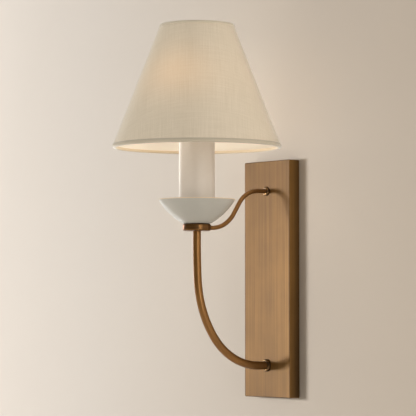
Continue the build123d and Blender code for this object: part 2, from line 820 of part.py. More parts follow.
with BuildPart() as block_screws:
    with BuildSketch(Plane.XZ.offset(block_screw_foot)):
        with Locations((0, block_z)):
            with GridLocations(block_pitch, block_length / 2, block_ways, 2):
                Circle(block_screw_diameter / 2)
    extrude(amount=block_screw_length)
    with BuildSketch(Plane.XZ.offset(block_screw_foot + block_screw_length)):
        with Locations((0, block_z)):
            with GridLocations(block_pitch, block_length / 2, block_ways, 2):
                Rectangle(block_screw_diameter, driver_slot_width)
    extrude(amount=-driver_slot_depth, mode=Mode.SUBTRACT)
save(block_screws, "block_screws")

with BuildPart() as block_fixing_screw:
    with BuildSketch(Plane.XZ):
        with Locations((block_pitch / 2, block_z)):
            Circle(block_screw_diameter / 2)
    extrude(amount=strap_thickness + block_slab)
    head_seat = strap_thickness + block_slab
    with BuildSketch(Plane.XZ.offset(head_seat)):
        with Locations((block_pitch / 2, block_z)):
            Circle(block_fixing_head / 2)
    extrude(amount=block_fixing_head_height)
    with BuildSketch(Plane.XZ.offset(head_seat + block_fixing_head_height)):
        with Locations((block_pitch / 2, block_z)):
            Rectangle(block_fixing_head, driver_slot_width)
    extrude(amount=-driver_slot_depth, mode=Mode.SUBTRACT)
save(block_fixing_screw, "block_fixing_screw")

with BuildPart() as earth_screw:
    with BuildSketch(Plane.XZ):
        with Locations((0, earth_screw_z)):
            Circle(earth_screw_diameter / 2)
    extrude(amount=strap_thickness + lug_thickness)
    with BuildSketch(Plane.XZ.offset(strap_thickness + lug_thickness)):
        with Locations((0, earth_screw_z)):
            Circle(earth_screw_head / 2)
    extrude(amount=earth_screw_head_height)
    fillet(earth_screw.edges().filter_by(GeomType.CIRCLE).group_by(Axis.Y)[0], earth_screw_head_edge)
    with BuildSketch(Plane.XZ.offset(strap_thickness + lug_thickness + earth_screw_head_height)):
        with Locations((0, earth_screw_z)):
            Rectangle(earth_screw_head, driver_slot_width)
    extrude(amount=-driver_slot_depth, mode=Mode.SUBTRACT)
save(earth_screw, "earth_screw")

lug_barrel_stand_off = strap_thickness + lug_barrel / 2
lug_barrel_z = earth_screw_z + earth_screw_head / 2 + lug_gap

with BuildPart() as earth_lug:
    with BuildSketch(Plane.XZ.offset(strap_thickness)):
        with Locations((0, earth_screw_z)):
            Circle(lug_diameter / 2)
        with Locations((0, (earth_screw_z + lug_barrel_z) / 2)):
            Rectangle(lug_barrel, lug_barrel_z - earth_screw_z)
        with Locations((0, earth_screw_z)):
            Circle(earth_screw_diameter / 2 + bush_play, mode=Mode.SUBTRACT)
    extrude(amount=lug_thickness)
    with BuildSketch(Plane((0, -lug_barrel_stand_off, lug_barrel_z))):
        Circle(lug_barrel / 2)
        Circle(wire_hole, mode=Mode.SUBTRACT)
    extrude(amount=lug_barrel_length)
save(earth_lug, "earth_lug")

with BuildPart() as earth_wire:
    with BuildLine(arm_plane) as earth_line:
        earth_shift = wire_stand_off - lug_barrel_stand_off
        barrel_top_z = lug_barrel_z + lug_barrel_length
        drop_end_z = barrel_top_z + wire_end_straight + bend_run(earth_shift, wire_bend_side)
        drop = Line((wire_stand_off, block_bottom_z + wire_into_block), (wire_stand_off, drop_end_z))
        swing = s_bend(drop, -earth_shift, wire_bend_side)
        Line(swing @ 1, (lug_barrel_stand_off, lug_barrel_z + wire_end_straight))
    earth_route = earth_line.wire()
    with BuildSketch(across(earth_route)):
        Circle(wire_diameter / 2)
    sweep(path=earth_route)
save(earth_wire, "earth_wire")

# ---------------------------------------------------------------------------------------
# Bulb
# ---------------------------------------------------------------------------------------

cap_bottom_z = bulb_bottom_z + bulb_contact_thickness + bulb_insulator_height
cap_top_z = cap_bottom_z + bulb_cap_length
cap_inside = bulb_cap_diameter / 2 - bulb_cap_wall
neck_radius = cap_inside - holder_play

with BuildPart() as bulb_contact:
    with BuildSketch(level(bulb_bottom_z)):
        Circle(bulb_contact_diameter / 2)
    extrude(amount=bulb_contact_thickness)
save(bulb_contact, "bulb_contact")

with BuildPart() as bulb_insulator:
    with BuildSketch(level(bulb_bottom_z + bulb_contact_thickness)):
        Circle(bulb_contact_diameter / 2)
    with BuildSketch(level(cap_bottom_z)):
        Circle(bulb_cap_diameter / 2)
    loft()
save(bulb_insulator, "bulb_insulator")

with BuildPart() as bulb_cap:
    with BuildSketch(level(cap_bottom_z)):
        Circle(bulb_cap_diameter / 2)
    extrude(amount=bulb_cap_length)
    with BuildSketch(level(cap_bottom_z + bulb_cap_wall)):
        Circle(cap_inside)
    extrude(amount=bulb_cap_length, mode=Mode.SUBTRACT)
save(bulb_cap, "bulb_cap")


def envelope(inset):
    """The bulb's side from its neck to its tip, as four points, inside the outer face by inset."""
    belly_radius = bulb_diameter / 2 - inset
    belly_z = bulb_bottom_z + bulb_belly
    tip_z = bulb_bottom_z + bulb_length - inset
    nose_radius = bulb_tip_radius - inset
    nose_z = tip_z - nose_radius
    rise = nose_z - belly_z
    side_radius = (belly_radius**2 + rise**2 - nose_radius**2) / (2 * (belly_radius - nose_radius))
    lean = atan2(rise, side_radius - belly_radius)
    neck = (neck_radius - inset, cap_top_z)
    belly = (belly_radius, belly_z)
    nose = (nose_radius * cos(lean), nose_z + nose_radius * sin(lean))
    return neck, belly, nose, (0, tip_z)


with BuildPart() as bulb_envelope:
    neck_bottom_z = cap_top_z - bulb_neck_depth
    with BuildSketch(lamp_plane):
        with BuildLine():
            neck, belly, nose, tip = envelope(0)
            Line((neck[0], neck_bottom_z), neck)
            TangentArc(belly, neck, tangent=Vector(0, -1))
            side = TangentArc(belly, nose, tangent=Vector(0, 1))
            TangentArc(nose, tip, tangent=side % 1)
            neck, belly, nose, inner_tip = envelope(bulb_glass)
            Line(tip, inner_tip)
            side = TangentArc(belly, nose, tangent=Vector(0, 1))
            TangentArc(nose, inner_tip, tangent=side % 1)
            TangentArc(belly, neck, tangent=Vector(0, -1))
            Line(neck, (neck[0], neck_bottom_z))
            Line((neck[0], neck_bottom_z), (neck[0] + bulb_glass, neck_bottom_z))
        make_face()
    revolve(axis=lamp_axis)
save(bulb_envelope, "bulb_glass")

# ---------------------------------------------------------------------------------------
# Shade: cloth, liner, wires, trims, fitter and ring nut
# ---------------------------------------------------------------------------------------

shade_foot = shade_bottom_diameter / 2
shade_head = shade_top_diameter / 2
slant_length = hypot(shade_foot - shade_head, shade_height)
slant_r = -(shade_foot - shade_head) / slant_length
slant_z = shade_height / slant_length


def on_slant(along, depth):
    """Radius and height of a point: along the shade's side from its foot, and depth under it."""
    return (
        shade_foot + along * slant_r - depth * slant_z,
        shade_bottom_z + along * slant_z + depth * slant_r,
    )


def cone_band(first, last, outer, inner):
    """A closed band of the shade's side, turned about the candle's axis."""
    with BuildPart() as band:
        with BuildSketch(lamp_plane):
            with BuildLine():
                Polyline(
                    on_slant(first, outer),
                    on_slant(last, outer),
                    on_slant(last, inner),
                    on_slant(first, inner),
                    close=True,
                )
            make_face()
        revolve(axis=lamp_axis)
    return band


cloth_outer = trim_thickness + glue_gap
cloth_inner = cloth_outer + cloth_thickness
liner_outer = cloth_inner + glue_gap
liner_inner = liner_outer + liner_thickness
wire_depth = liner_inner + glue_gap + shade_wire / 2
trim_back = wire_depth + shade_wire / 2 + glue_gap
trim_depth = trim_back + trim_thickness
roll = trim_depth / 2  # radius of the rolled edges

shade_cloth = cone_band(roll, slant_length - roll, cloth_outer, cloth_inner)
save(shade_cloth, "shade_cloth")

shade_liner = cone_band(roll, slant_length - roll, liner_outer, liner_inner)
save(shade_liner, "shade_liner")


def wire_ring(along):
    """A round wire ring behind the liner, at a distance along the slant."""
    with BuildPart() as ring:
        with BuildSketch(lamp_plane):
            with Locations(on_slant(along, wire_depth)):
                Circle(shade_wire / 2)
        revolve(axis=lamp_axis)
    return ring


bottom_ring = wire_ring(roll)
save(bottom_ring, "bottom_wire_ring")
top_ring = wire_ring(slant_length - roll)
save(top_ring, "top_wire_ring")


def rolled_trim(edge, inward, band, lap):
    """Cloth tape that covers a band outside, rolls round the edge and laps behind the wire."""
    turn = edge + inward * roll
    with BuildPart() as tape:
        with BuildSketch(lamp_plane):
            with BuildLine():
                Line(on_slant(edge + inward * band, 0), on_slant(turn, 0))
                ThreePointArc(on_slant(turn, 0), on_slant(edge, roll), on_slant(turn, trim_depth))
                Polyline(
                    on_slant(turn, trim_depth),
                    on_slant(edge + inward * lap, trim_depth),
                    on_slant(edge + inward * lap, trim_back),
                    on_slant(turn, trim_back),
                )
                ThreePointArc(
                    on_slant(turn, trim_back),
                    on_slant(edge + inward * trim_thickness, roll),
                    on_slant(turn, trim_thickness),
                )
                Polyline(
                    on_slant(turn, trim_thickness),
                    on_slant(edge + inward * band, trim_thickness),
                    on_slant(edge + inward * band, 0),
                )
            make_face()
        revolve(axis=lamp_axis)
    return tape


bottom_trim = rolled_trim(0, 1, bottom_trim_band, bottom_trim_lap)
save(bottom_trim, "bottom_trim")
top_trim = rolled_trim(slant_length, -1, top_trim_band, top_trim_lap)
save(top_trim, "top_trim")

fitter_z = sleeve_top_z + seat_gap
fitter_bore = skirt_radius + fitter_play

fitter_ring = washer(level(fitter_z), fitter_diameter, fitter_thickness, fitter_bore)
save(fitter_ring, "fitter_ring")

with BuildPart() as fitter_spokes:
    spoke_z = fitter_z + fitter_thickness / 2
    ring_radius, ring_z = on_slant(slant_length - roll, wire_depth)
    spoke_start = (fitter_diameter / 2 + glue_gap, spoke_z)
    spoke_corner = (fitter_diameter / 2 + spoke_foot + spoke_bend, spoke_z)
    spoke_top = (ring_radius, ring_z - shade_wire / 2 - weld_gap)
    with BuildLine(lamp_plane) as spoke_line:
        FilletPolyline(spoke_start, spoke_corner, spoke_top, radius=spoke_bend)
    spoke_route = spoke_line.wire()
    with BuildSketch(across(spoke_route)):
        Circle(spoke_diameter / 2)
    spoke = sweep(path=spoke_route, mode=Mode.PRIVATE)
    with Locations(Location((0, -lamp_reach, 0))):
        with PolarLocations(0, spoke_count):
            add(spoke.moved(Location((0, lamp_reach, 0))))
save(fitter_spokes, "fitter_spokes")

with BuildPart() as shade_ring_nut:
    ring_z = fitter_z + fitter_thickness + seat_gap
    with BuildSketch(level(ring_z)):
        Circle(ring_nut_diameter / 2)
    extrude(amount=ring_nut_flange)
    with BuildSketch(level(ring_z + ring_nut_flange)):
        Circle(ring_nut_grip / 2)
        with PolarLocations(ring_nut_grip / 2 + ring_nut_flute_radius / 2, ring_nut_flutes):
            Circle(ring_nut_flute_radius, mode=Mode.SUBTRACT)
    extrude(amount=ring_nut_height - ring_nut_flange)
    with BuildSketch(level(ring_z)):
        Circle(skirt_radius + ring_nut_play)
    extrude(amount=ring_nut_height, mode=Mode.SUBTRACT)
save(shade_ring_nut, "shade_ring_nut")
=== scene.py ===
"""Wall light with a fabric shade: the finished surfaces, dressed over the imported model."""

from __future__ import annotations

import logging
import math
from dataclasses import dataclass
from enum import Enum
from typing import Any, Callable, Sequence

import bmesh
import bpy
from mathutils import Matrix, Vector


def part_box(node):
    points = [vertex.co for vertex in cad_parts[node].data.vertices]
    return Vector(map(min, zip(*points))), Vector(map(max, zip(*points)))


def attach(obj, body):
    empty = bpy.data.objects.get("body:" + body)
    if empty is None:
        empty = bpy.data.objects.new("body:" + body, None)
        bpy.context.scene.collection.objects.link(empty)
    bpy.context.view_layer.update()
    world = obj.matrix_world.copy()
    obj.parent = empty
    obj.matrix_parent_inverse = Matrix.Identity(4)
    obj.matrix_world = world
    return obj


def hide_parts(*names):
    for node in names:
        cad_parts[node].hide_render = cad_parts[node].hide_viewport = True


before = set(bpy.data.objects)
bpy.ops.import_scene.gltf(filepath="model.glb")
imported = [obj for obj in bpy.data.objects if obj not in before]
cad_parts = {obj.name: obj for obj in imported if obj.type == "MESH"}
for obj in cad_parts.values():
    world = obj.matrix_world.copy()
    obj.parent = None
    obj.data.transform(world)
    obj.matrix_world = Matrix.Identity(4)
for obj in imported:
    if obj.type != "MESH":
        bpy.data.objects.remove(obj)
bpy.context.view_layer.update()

log = logging.getLogger("fabric_shade_wall_light")

MM = 0.001
FULL_TURN = 2.0 * math.pi
# Points nearer to each other than this are one.
WELD = 0.0005 * MM
# Where surface maps begin and the cloth laps: on the side towards the wall.
SEAM = math.radians(142.7)

Colour = tuple[float, float, float]
Point = tuple[float, float]
Socket = bpy.types.NodeSocket
Mesh = bpy.types.Mesh
Curve = bpy.types.Curve
Material = bpy.types.Material
Object = bpy.types.Object
Draft = bmesh.types.BMesh
Ripple = Callable[[float, float, float], float]


# --- Node trees ---


def rgba(value: Any) -> Any:
    """A plain colour with its alpha; a socket or a number stays as it is."""
    return (*value, 1.0) if isinstance(value, tuple) else value


def set_out(name: str, data: bpy.types.ID) -> Object:
    """Put data into the scene as an object.

    Args:
        name: The object's name.
        data: Its mesh, curve, camera or lamp.

    Returns:
        The new object.
    """
    item = bpy.data.objects.new(name, data)
    bpy.context.scene.collection.objects.link(item)
    return item


class Nodes:
    """A node tree, with short ways to add nodes and feed their sockets."""

    def __init__(self, tree: bpy.types.NodeTree) -> None:
        """Work on an existing tree.

        Args:
            tree: The tree that the nodes go into.
        """
        self.tree = tree

    def add(self, kind: str, feeds: dict[str | int, Any] | None = None, **settings: Any) -> bpy.types.Node:
        """Add a node.

        Args:
            kind: The node's type name.
            feeds: What goes into its inputs, by name or index: sockets or constants.
            settings: Properties of the node itself.

        Returns:
            The new node.
        """
        node = self.tree.nodes.new(kind)
        for name, value in settings.items():
            setattr(node, name, value)
        for name, value in (feeds or {}).items():
            self.feed(node.inputs[name], value)
        return node

    def feed(self, socket: Socket, value: Any) -> None:
        """Link a socket to an output, or set it to a constant.

        Args:
            socket: The input socket.
            value: An output socket, or a constant of the input's kind.
        """
        if isinstance(value, Socket):
            self.tree.links.new(value, socket)
        else:
            socket.default_value = value

    def math(self, operation: str, *values: Any) -> Socket:
        """The result of a Math node, fed with sockets or numbers."""
        return self.add("ShaderNodeMath", dict(enumerate(values)), operation=operation).outputs[0]

    def span(self, value: Any, low: float, high: float, start: Any = 0.0, end: Any = 1.0) -> Socket:
        """Map a value from the range low to high to the range start to end, held at both ends."""
        feeds = {"Value": value, "From Min": low, "From Max": high, "To Min": start, "To Max": end}
        return self.add("ShaderNodeMapRange", feeds).outputs[0]


class Place(Enum):
    """Which coordinates a pattern follows."""

    OBJECT = "Object"
    OWN = "UV"


@dataclass(frozen=True)
class Pattern:
    """A noise pattern: features per metre, octaves, and how strong the finer octaves are."""

    scale: float
    detail: float = 2.0
    roughness: float = 0.5


class Surface(Nodes):
    """The nodes of one finish, round a Principled shader."""

    def __init__(self, name: str) -> None:
        """Start a material.

        Args:
            name: The material's name.
        """
        self.material = bpy.data.materials.new(name)
        self.material.use_nodes = True
        super().__init__(self.material.node_tree)
        self.shader = self.tree.nodes["Principled BSDF"]
        self.output = self.tree.nodes["Material Output"]

    def put(self, feeds: dict[str, Any]) -> None:
        """Set or feed the shader's sockets by name."""
        for name, value in feeds.items():
            self.feed(self.shader.inputs[name], rgba(value))

    def place(self, kind: Place = Place.OBJECT, scale: Sequence[float] = (1.0, 1.0, 1.0),
              origin: Sequence[float] = (0.0, 0.0, 0.0)) -> Socket:
        """Coordinates in metres, stretched along each axis.

        Args:
            kind: The piece's object coordinates or its own surface map.
            scale: The factor along each axis.
            origin: The offset added after the stretch.

        Returns:
            The stretched coordinates.
        """
        source = self.add("ShaderNodeTexCoord").outputs[kind.value]
        feeds = {"Vector": source, "Scale": tuple(scale), "Location": tuple(origin)}
        return self.add("ShaderNodeMapping", feeds).outputs[0]

    def parts(self, vector: Socket) -> tuple[Socket, ...]:
        """Split a vector into its three numbers."""
        return tuple(self.add("ShaderNodeSeparateXYZ", {0: vector}).outputs)

    def facing(self) -> Socket:
        """The direction that the surface faces."""
        return self.add("ShaderNodeNewGeometry").outputs["Normal"]

    def noise(self, pattern: Pattern, kind: Place = Place.OBJECT,
              stretch: Sequence[float] = (1.0, 1.0, 1.0)) -> Socket:
        """Smooth noise.

        Args:
            pattern: Its size and grain.
            kind: The coordinates that it follows.
            stretch: The factor along each axis; a small one draws it out along that axis.

        Returns:
            The noise, from 0 to 1.
        """
        feeds = {"Vector": self.place(kind, stretch), "Scale": pattern.scale, "Detail": pattern.detail,
                 "Roughness": pattern.roughness}
        return self.add("ShaderNodeTexNoise", feeds).outputs[0]

    def sum(self, *shares: tuple[Socket, float]) -> Socket:
        """Add patterns up.

        Args:
            shares: Each pattern with its weight.

        Returns:
            The weighted sum.
        """
        total: Any = 0.0
        for pattern, weight in shares:
            total = self.math("MULTIPLY_ADD", pattern, weight, total)
        return total

    def bell(self, value: Socket, middle: float, reach: float) -> Socket:
        """A soft hump of a value: 1 at its middle, fading over its reach on both sides."""
        way = self.math("DIVIDE", self.math("SUBTRACT", value, middle), reach)
        return self.math("EXPONENT", self.math("MULTIPLY", self.math("MULTIPLY", way, way), -1.0))

    def blend(self, factor: Any, first: Any, second: Any) -> Socket:
        """Mix two colours, or sockets with one: 0 gives the first and 1 the second."""
        feeds = {0: factor, 6: rgba(first), 7: rgba(second)}
        return self.add("ShaderNodeMix", feeds, data_type="RGBA").outputs[2]

    def bump(self, height: Socket, distance: float, strength: float = 1.0) -> None:
        """Raise the surface by a height pattern.

        Args:
            height: The pattern, from 0 to 1.
            distance: The height of 1, in metres.
            strength: How much of it shows.
        """
        feeds = {"Height": height, "Distance": distance, "Strength": strength}
        if self.shader.inputs["Normal"].is_linked:
            feeds["Normal"] = self.shader.inputs["Normal"].links[0].from_socket
        self.put({"Normal": self.add("ShaderNodeBump", feeds).outputs[0]})


class Growth(Nodes):
    """A Geometry Nodes tree that makes one piece from named sizes."""

    def __init__(self, name: str) -> None:
        """Start a tree.

        Args:
            name: The name of the tree and its mesh.
        """
        super().__init__(bpy.data.node_groups.new(name, "GeometryNodeTree"))
        for side in ("INPUT", "OUTPUT"):
            self.tree.interface.new_socket("Geometry", in_out=side, socket_type="NodeSocketGeometry")
        self.name = name
        self.source = self.add("NodeGroupInput")
        self.sizes: dict[str, float | int] = {}

    def size(self, name: str, value: float | int) -> Socket:
        """Add a named input with its size.

        Args:
            name: The input's name.
            value: A whole number for a count, else a length in metres or an angle.

        Returns:
            The socket that gives the size inside the tree.
        """
        kind = "NodeSocketInt" if isinstance(value, int) else "NodeSocketFloat"
        socket = self.tree.interface.new_socket(name, in_out="INPUT", socket_type=kind)
        self.sizes[socket.identifier] = value
        return self.source.outputs[name]

    def measured(self, curve: Socket, name: str) -> tuple[Socket, Socket]:
        """Note on a curve how far along it each point lies.

        Args:
            curve: The curve.
            name: What the distance is called.

        Returns:
            The curve and the distance.
        """
        marked = self.add("GeometryNodeCaptureAttribute")
        marked.capture_items.new("FLOAT", name)
        self.feed(marked.inputs[0], curve)
        self.feed(marked.inputs[1], self.add("GeometryNodeSplineParameter").outputs["Length"])
        return marked.outputs[0], marked.outputs[1]

    def swept(self, path: Socket, radius: Any, sides: int) -> Socket:
        """Sweep a circle along a path and store the surface map, in metres.

        Args:
            path: The curve to follow; the radius of its points scales the circle.
            radius: The circle's radius.
            sides: How many sides the circle has.

        Returns:
            The tube's mesh, closed round but open at the ends.
        """
        line, along = self.measured(path, "Along")
        circle = {"Resolution": sides + 1, "Radius": radius, "Sweep Angle": FULL_TURN}
        ring, around = self.measured(self.add("GeometryNodeCurveArc", circle).outputs[0], "Around")
        scale = self.add("GeometryNodeInputRadius").outputs[0]
        tube = self.add("GeometryNodeCurveToMesh", {0: line, 1: ring, "Scale": scale})
        place = self.add("ShaderNodeCombineXYZ", {0: around, 1: along})
        feeds = {0: tube.outputs[0], "Name": "surface", "Value": place.outputs[0]}
        mapped = self.add("GeometryNodeStoreNamedAttribute", feeds, data_type="FLOAT2", domain="CORNER")
        closed = self.add("GeometryNodeMergeByDistance", {0: mapped.outputs[0], "Distance": 2.0 * WELD})
        return closed.outputs[0]

    def grow(self, result: Socket, material: Material, base: bpy.types.ID | None = None,
             fill: bool = False) -> Mesh:
        """Run the tree once and keep its plain mesh.

        Args:
            result: The geometry that the tree ends with.
            material: The finish of all its faces.
            base: The curve or mesh that the tree starts from, if it needs one.
            fill: Whether open ends get a cap.

        Returns:
            The mesh, with no modifier and no instances left.
        """
        realised = self.add("GeometryNodeRealizeInstances", {0: result})
        smooth = self.add("GeometryNodeSetShadeSmooth", {0: realised.outputs[0], "Shade Smooth": True})
        dressed = self.add("GeometryNodeSetMaterial", {0: smooth.outputs[0], "Material": material})
        self.feed(self.add("NodeGroupOutput").inputs[0], dressed.outputs[0])
        carrier = set_out(self.name + "_carrier", base or bpy.data.meshes.new(self.name + "_base"))
        modifier = carrier.modifiers.new("growth", "NODES")
        modifier.node_group = self.tree
        for identifier, value in self.sizes.items():
            modifier[identifier] = value
        depsgraph = bpy.context.evaluated_depsgraph_get()
        mesh = bpy.data.meshes.new_from_object(carrier.evaluated_get(depsgraph))
        mesh.name = self.name
        bpy.data.objects.remove(carrier)
        made = bmesh.new()
        made.from_mesh(mesh)
        bmesh.ops.remove_doubles(made, verts=made.verts, dist=WELD)
        if fill:
            bmesh.ops.holes_fill(made, edges=made.edges, sides=0)
        return written(made, mesh)


# --- Outlines and meshes ---


def written(made: Draft, mesh: Mesh, crease: float = 40.0) -> Mesh:
    """Turn a working mesh's faces outwards and write it, smooth up to its creases.

    Args:
        made: The working mesh, which is freed.
        mesh: The mesh that it is written to.
        crease: Edges sharper than this many degrees stay sharp.

    Returns:
        The written mesh.
    """
    bmesh.ops.recalc_face_normals(made, faces=made.faces)
    made.to_mesh(mesh)
    made.free()
    mesh.shade_smooth()
    mesh.set_sharp_from_angle(angle=math.radians(crease))
    return mesh


def skin(made: Draft, first: Sequence[Any], second: Sequence[Any]) -> None:
    """Join two lines of points by faces with a surface map.

    Args:
        made: The working mesh.
        first: Points of one line, each with its place on the map.
        second: As many points of the next line.
    """
    surface = made.loops.layers.uv.verify()
    for corners in zip(first, first[1:], second[1:], second):
        face = made.faces.new([vert for vert, _ in corners])
        for loop, (_, place) in zip(face.loops, corners):
            loop[surface].uv = place


def polyline(name: str, points: Sequence[Sequence[float]], radii: Sequence[float]) -> Curve:
    """Make a curve of straight pieces.

    Args:
        name: The curve's name.
        points: Its points, in metres.
        radii: What each point scales a sweep by.

    Returns:
        The curve.
    """
    data = bpy.data.curves.new(name, "CURVE")
    data.dimensions = "3D"
    spline = data.splines.new("POLY")
    spline.points.add(len(points) - 1)
    for point, place, radius in zip(spline.points, points, radii):
        point.co = (*place, 1.0)
        point.radius = radius
    return data


@dataclass(frozen=True)
class Extent:
    """A CAD node's half width, its distances from the wall and its heights, in millimetres."""

    radius: float
    near: float
    far: float
    bottom: float
    top: float

    @classmethod
    def of(cls, node: str) -> Extent:
        """Measure a CAD node."""
        low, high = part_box(node)
        return cls((high.x - low.x) / 2.0 / MM, -high.y / MM, -low.y / MM, low.z / MM, high.z / MM)

    @property
    def middle(self) -> float:
        """Height of its middle."""
        return (self.bottom + self.top) / 2.0


@dataclass(frozen=True)
class Corner:
    """A corner of an outline: its radius, its height and its rounding, in millimetres."""

    r: float
    z: float
    rounding: float = 0.0


def rounded(corners: Sequence[Corner], steps: int = 5) -> list[Point]:
    """Round the corners of a closed outline.

    Args:
        corners: The corners in order.
        steps: Straight pieces in each rounded corner.

    Returns:
        The outline's points, in millimetres.
    """
    points: list[Point] = []
    for index, corner in enumerate(corners):
        here = Vector((corner.r, corner.z))
        if not corner.rounding:
            points.append(tuple(here))
            continue
        before, after = corners[index - 1], corners[(index + 1) % len(corners)]
        back = (Vector((before.r, before.z)) - here).normalized()
        ahead = (Vector((after.r, after.z)) - here).normalized()
        half = back.angle(ahead) / 2.0
        centre = here + (back + ahead).normalized() * corner.rounding / math.sin(half)
        reach = corner.rounding / math.tan(half)
        first = here + back * reach - centre
        turn = first.angle_signed(here + ahead * reach - centre)
        for step in range(steps + 1):
            angle = -turn * step / steps
            spoke = Vector((first.x * math.cos(angle) - first.y * math.sin(angle),
                            first.x * math.sin(angle) + first.y * math.cos(angle)))
            points.append(tuple(centre + spoke))
    return points


def arc(centre: Point, radius: float, start: float, end: float, steps: int) -> list[Point]:
    """Points along a circular arc.

    Args:
        centre: The circle's centre.
        radius: Its radius.
        start: The first angle, in radians from the first axis.
        end: The last angle.
        steps: Straight pieces along the arc.

    Returns:
        The points, both ends included.
    """
    angles = (start + (end - start) * step / steps for step in range(steps + 1))
    return [(centre[0] + radius * math.cos(angle), centre[1] + radius * math.sin(angle)) for angle in angles]


def divided(outline: Sequence[Point], longest: float) -> list[Point]:
    """Divide the long sides of a closed outline.

    Args:
        outline: The points in order.
        longest: The longest side that may stay, in millimetres.

    Returns:
        The outline with points added along its long sides.
    """
    points: list[Point] = []
    for index, start in enumerate(outline):
        end = outline[(index + 1) % len(outline)]
        parts = max(1, math.ceil(math.dist(start, end) / longest))
        run, rise = end[0] - start[0], end[1] - start[1]
        points += [(start[0] + run * part / parts, start[1] + rise * part / parts) for part in range(parts)]
    return points


@dataclass(frozen=True)
class Thread:
    """A rounded screw thread in a turned side, as a ripple of its radius, in millimetres.

    Attributes:
        pitch: Distance between its turns.
        depth: Its depth.
        start: Height where it begins.
        end: Height where it ends.
        ease: Length over which it fades in and out.
        least: Radius of the innermost point that it shapes.
    """

    pitch: float
    depth: float
    start: float
    end: float
    ease: float
    least: float

    def __call__(self, angle: float, r: float, z: float) -> float:
        """What the thread adds to the radius.

        Args:
            angle: Angle round the axis, in radians.
            r: The plain radius.
            z: The height.

        Returns:
            The change of the radius.
        """
        if r < self.least or not self.start < z < self.end:
            return 0.0
        full = min(1.0, (z - self.start) / self.ease, (self.end - z) / self.ease)
        return -self.depth * full * (0.5 - 0.5 * math.cos(FULL_TURN * z / self.pitch - angle))


@dataclass(frozen=True)
class Lathe:
    """Turns outlines about an axis into closed meshes with a surface map.

    Attributes:
        centre: Where the axis starts, in metres.
        segments: Faces round the axis.
        towards: The direction along the axis.
    """

    centre: tuple[float, float, float]
    segments: int
    towards: tuple[float, float, float] = (0.0, 0.0, 1.0)

    def turn(self, name: str, outline: Sequence[Point], crease: float = 40.0,
             ripple: Ripple | None = None) -> Mesh:
        """Turn a closed outline.

        Args:
            name: The mesh's name.
            outline: Radius and height of each point, in millimetres, in order round the section.
            crease: Edges sharper than this many degrees stay sharp.
            ripple: Added to the radius at an angle, a radius and a height, in millimetres.

        Returns:
            The mesh in place, with its normals outwards.
        """
        made = bmesh.new()
        made.loops.layers.uv.new("surface")
        turn = Vector((0.0, 0.0, 1.0)).rotation_difference(Vector(self.towards)).to_matrix().to_4x4()
        matrix = Matrix.Translation(self.centre) @ turn
        step = FULL_TURN / self.segments * max(r for r, _ in outline) * MM
        rings = []
        for r, z in outline:
            ring = []
            for segment in range(self.segments):
                angle = SEAM + FULL_TURN * segment / self.segments
                radius = r + ripple(angle, r, z) if ripple else r
                place = Vector((radius * math.cos(angle), radius * math.sin(angle), z)) * MM
                ring.append(made.verts.new(matrix @ place))
            rings.append([*ring, ring[0]])
        down = 0.0
        for row, (start, end) in enumerate(zip(outline, [*outline[1:], outline[0]])):
            below = down + math.dist(start, end) * MM
            if start[0] or end[0]:
                ring, following = rings[row], rings[(row + 1) % len(rings)]
                skin(made, [(vert, (across * step, down)) for across, vert in enumerate(ring)],
                     [(vert, (across * step, below)) for across, vert in enumerate(following)])
            down = below
        bmesh.ops.remove_doubles(made, verts=made.verts, dist=WELD)
        bmesh.ops.dissolve_degenerate(made, edges=made.edges, dist=WELD)
        return written(made, bpy.data.meshes.new(name), crease)


# --- Finishes ---


@dataclass(frozen=True)
class Finish:
    """A finish of the light.

    Attributes:
        name: The material's name.
    """

    name: str

    def material(self) -> Material:
        """Build the material.

        Returns:
            The material, with its look set.
        """
        surface = Surface(self.name)
        self.apply(surface)
        return surface.material

    def apply(self, surface: Surface) -> None:
        """Set the look of the material's nodes."""
        raise NotImplementedError


class Grain(Enum):
    """How the brush lines of a metal run: their coordinates, and the stretch of fine and broad ones."""

    UPRIGHT = (Place.OBJECT, (1.0, 1.0, 0.008), (1.0, 1.0, 0.04))
    ALONG = (Place.OWN, (1.0, 0.03, 1.0), (1.0, 0.12, 1.0))
    TURNED = (Place.OWN, (0.02, 1.0, 1.0), (0.08, 1.0, 1.0))


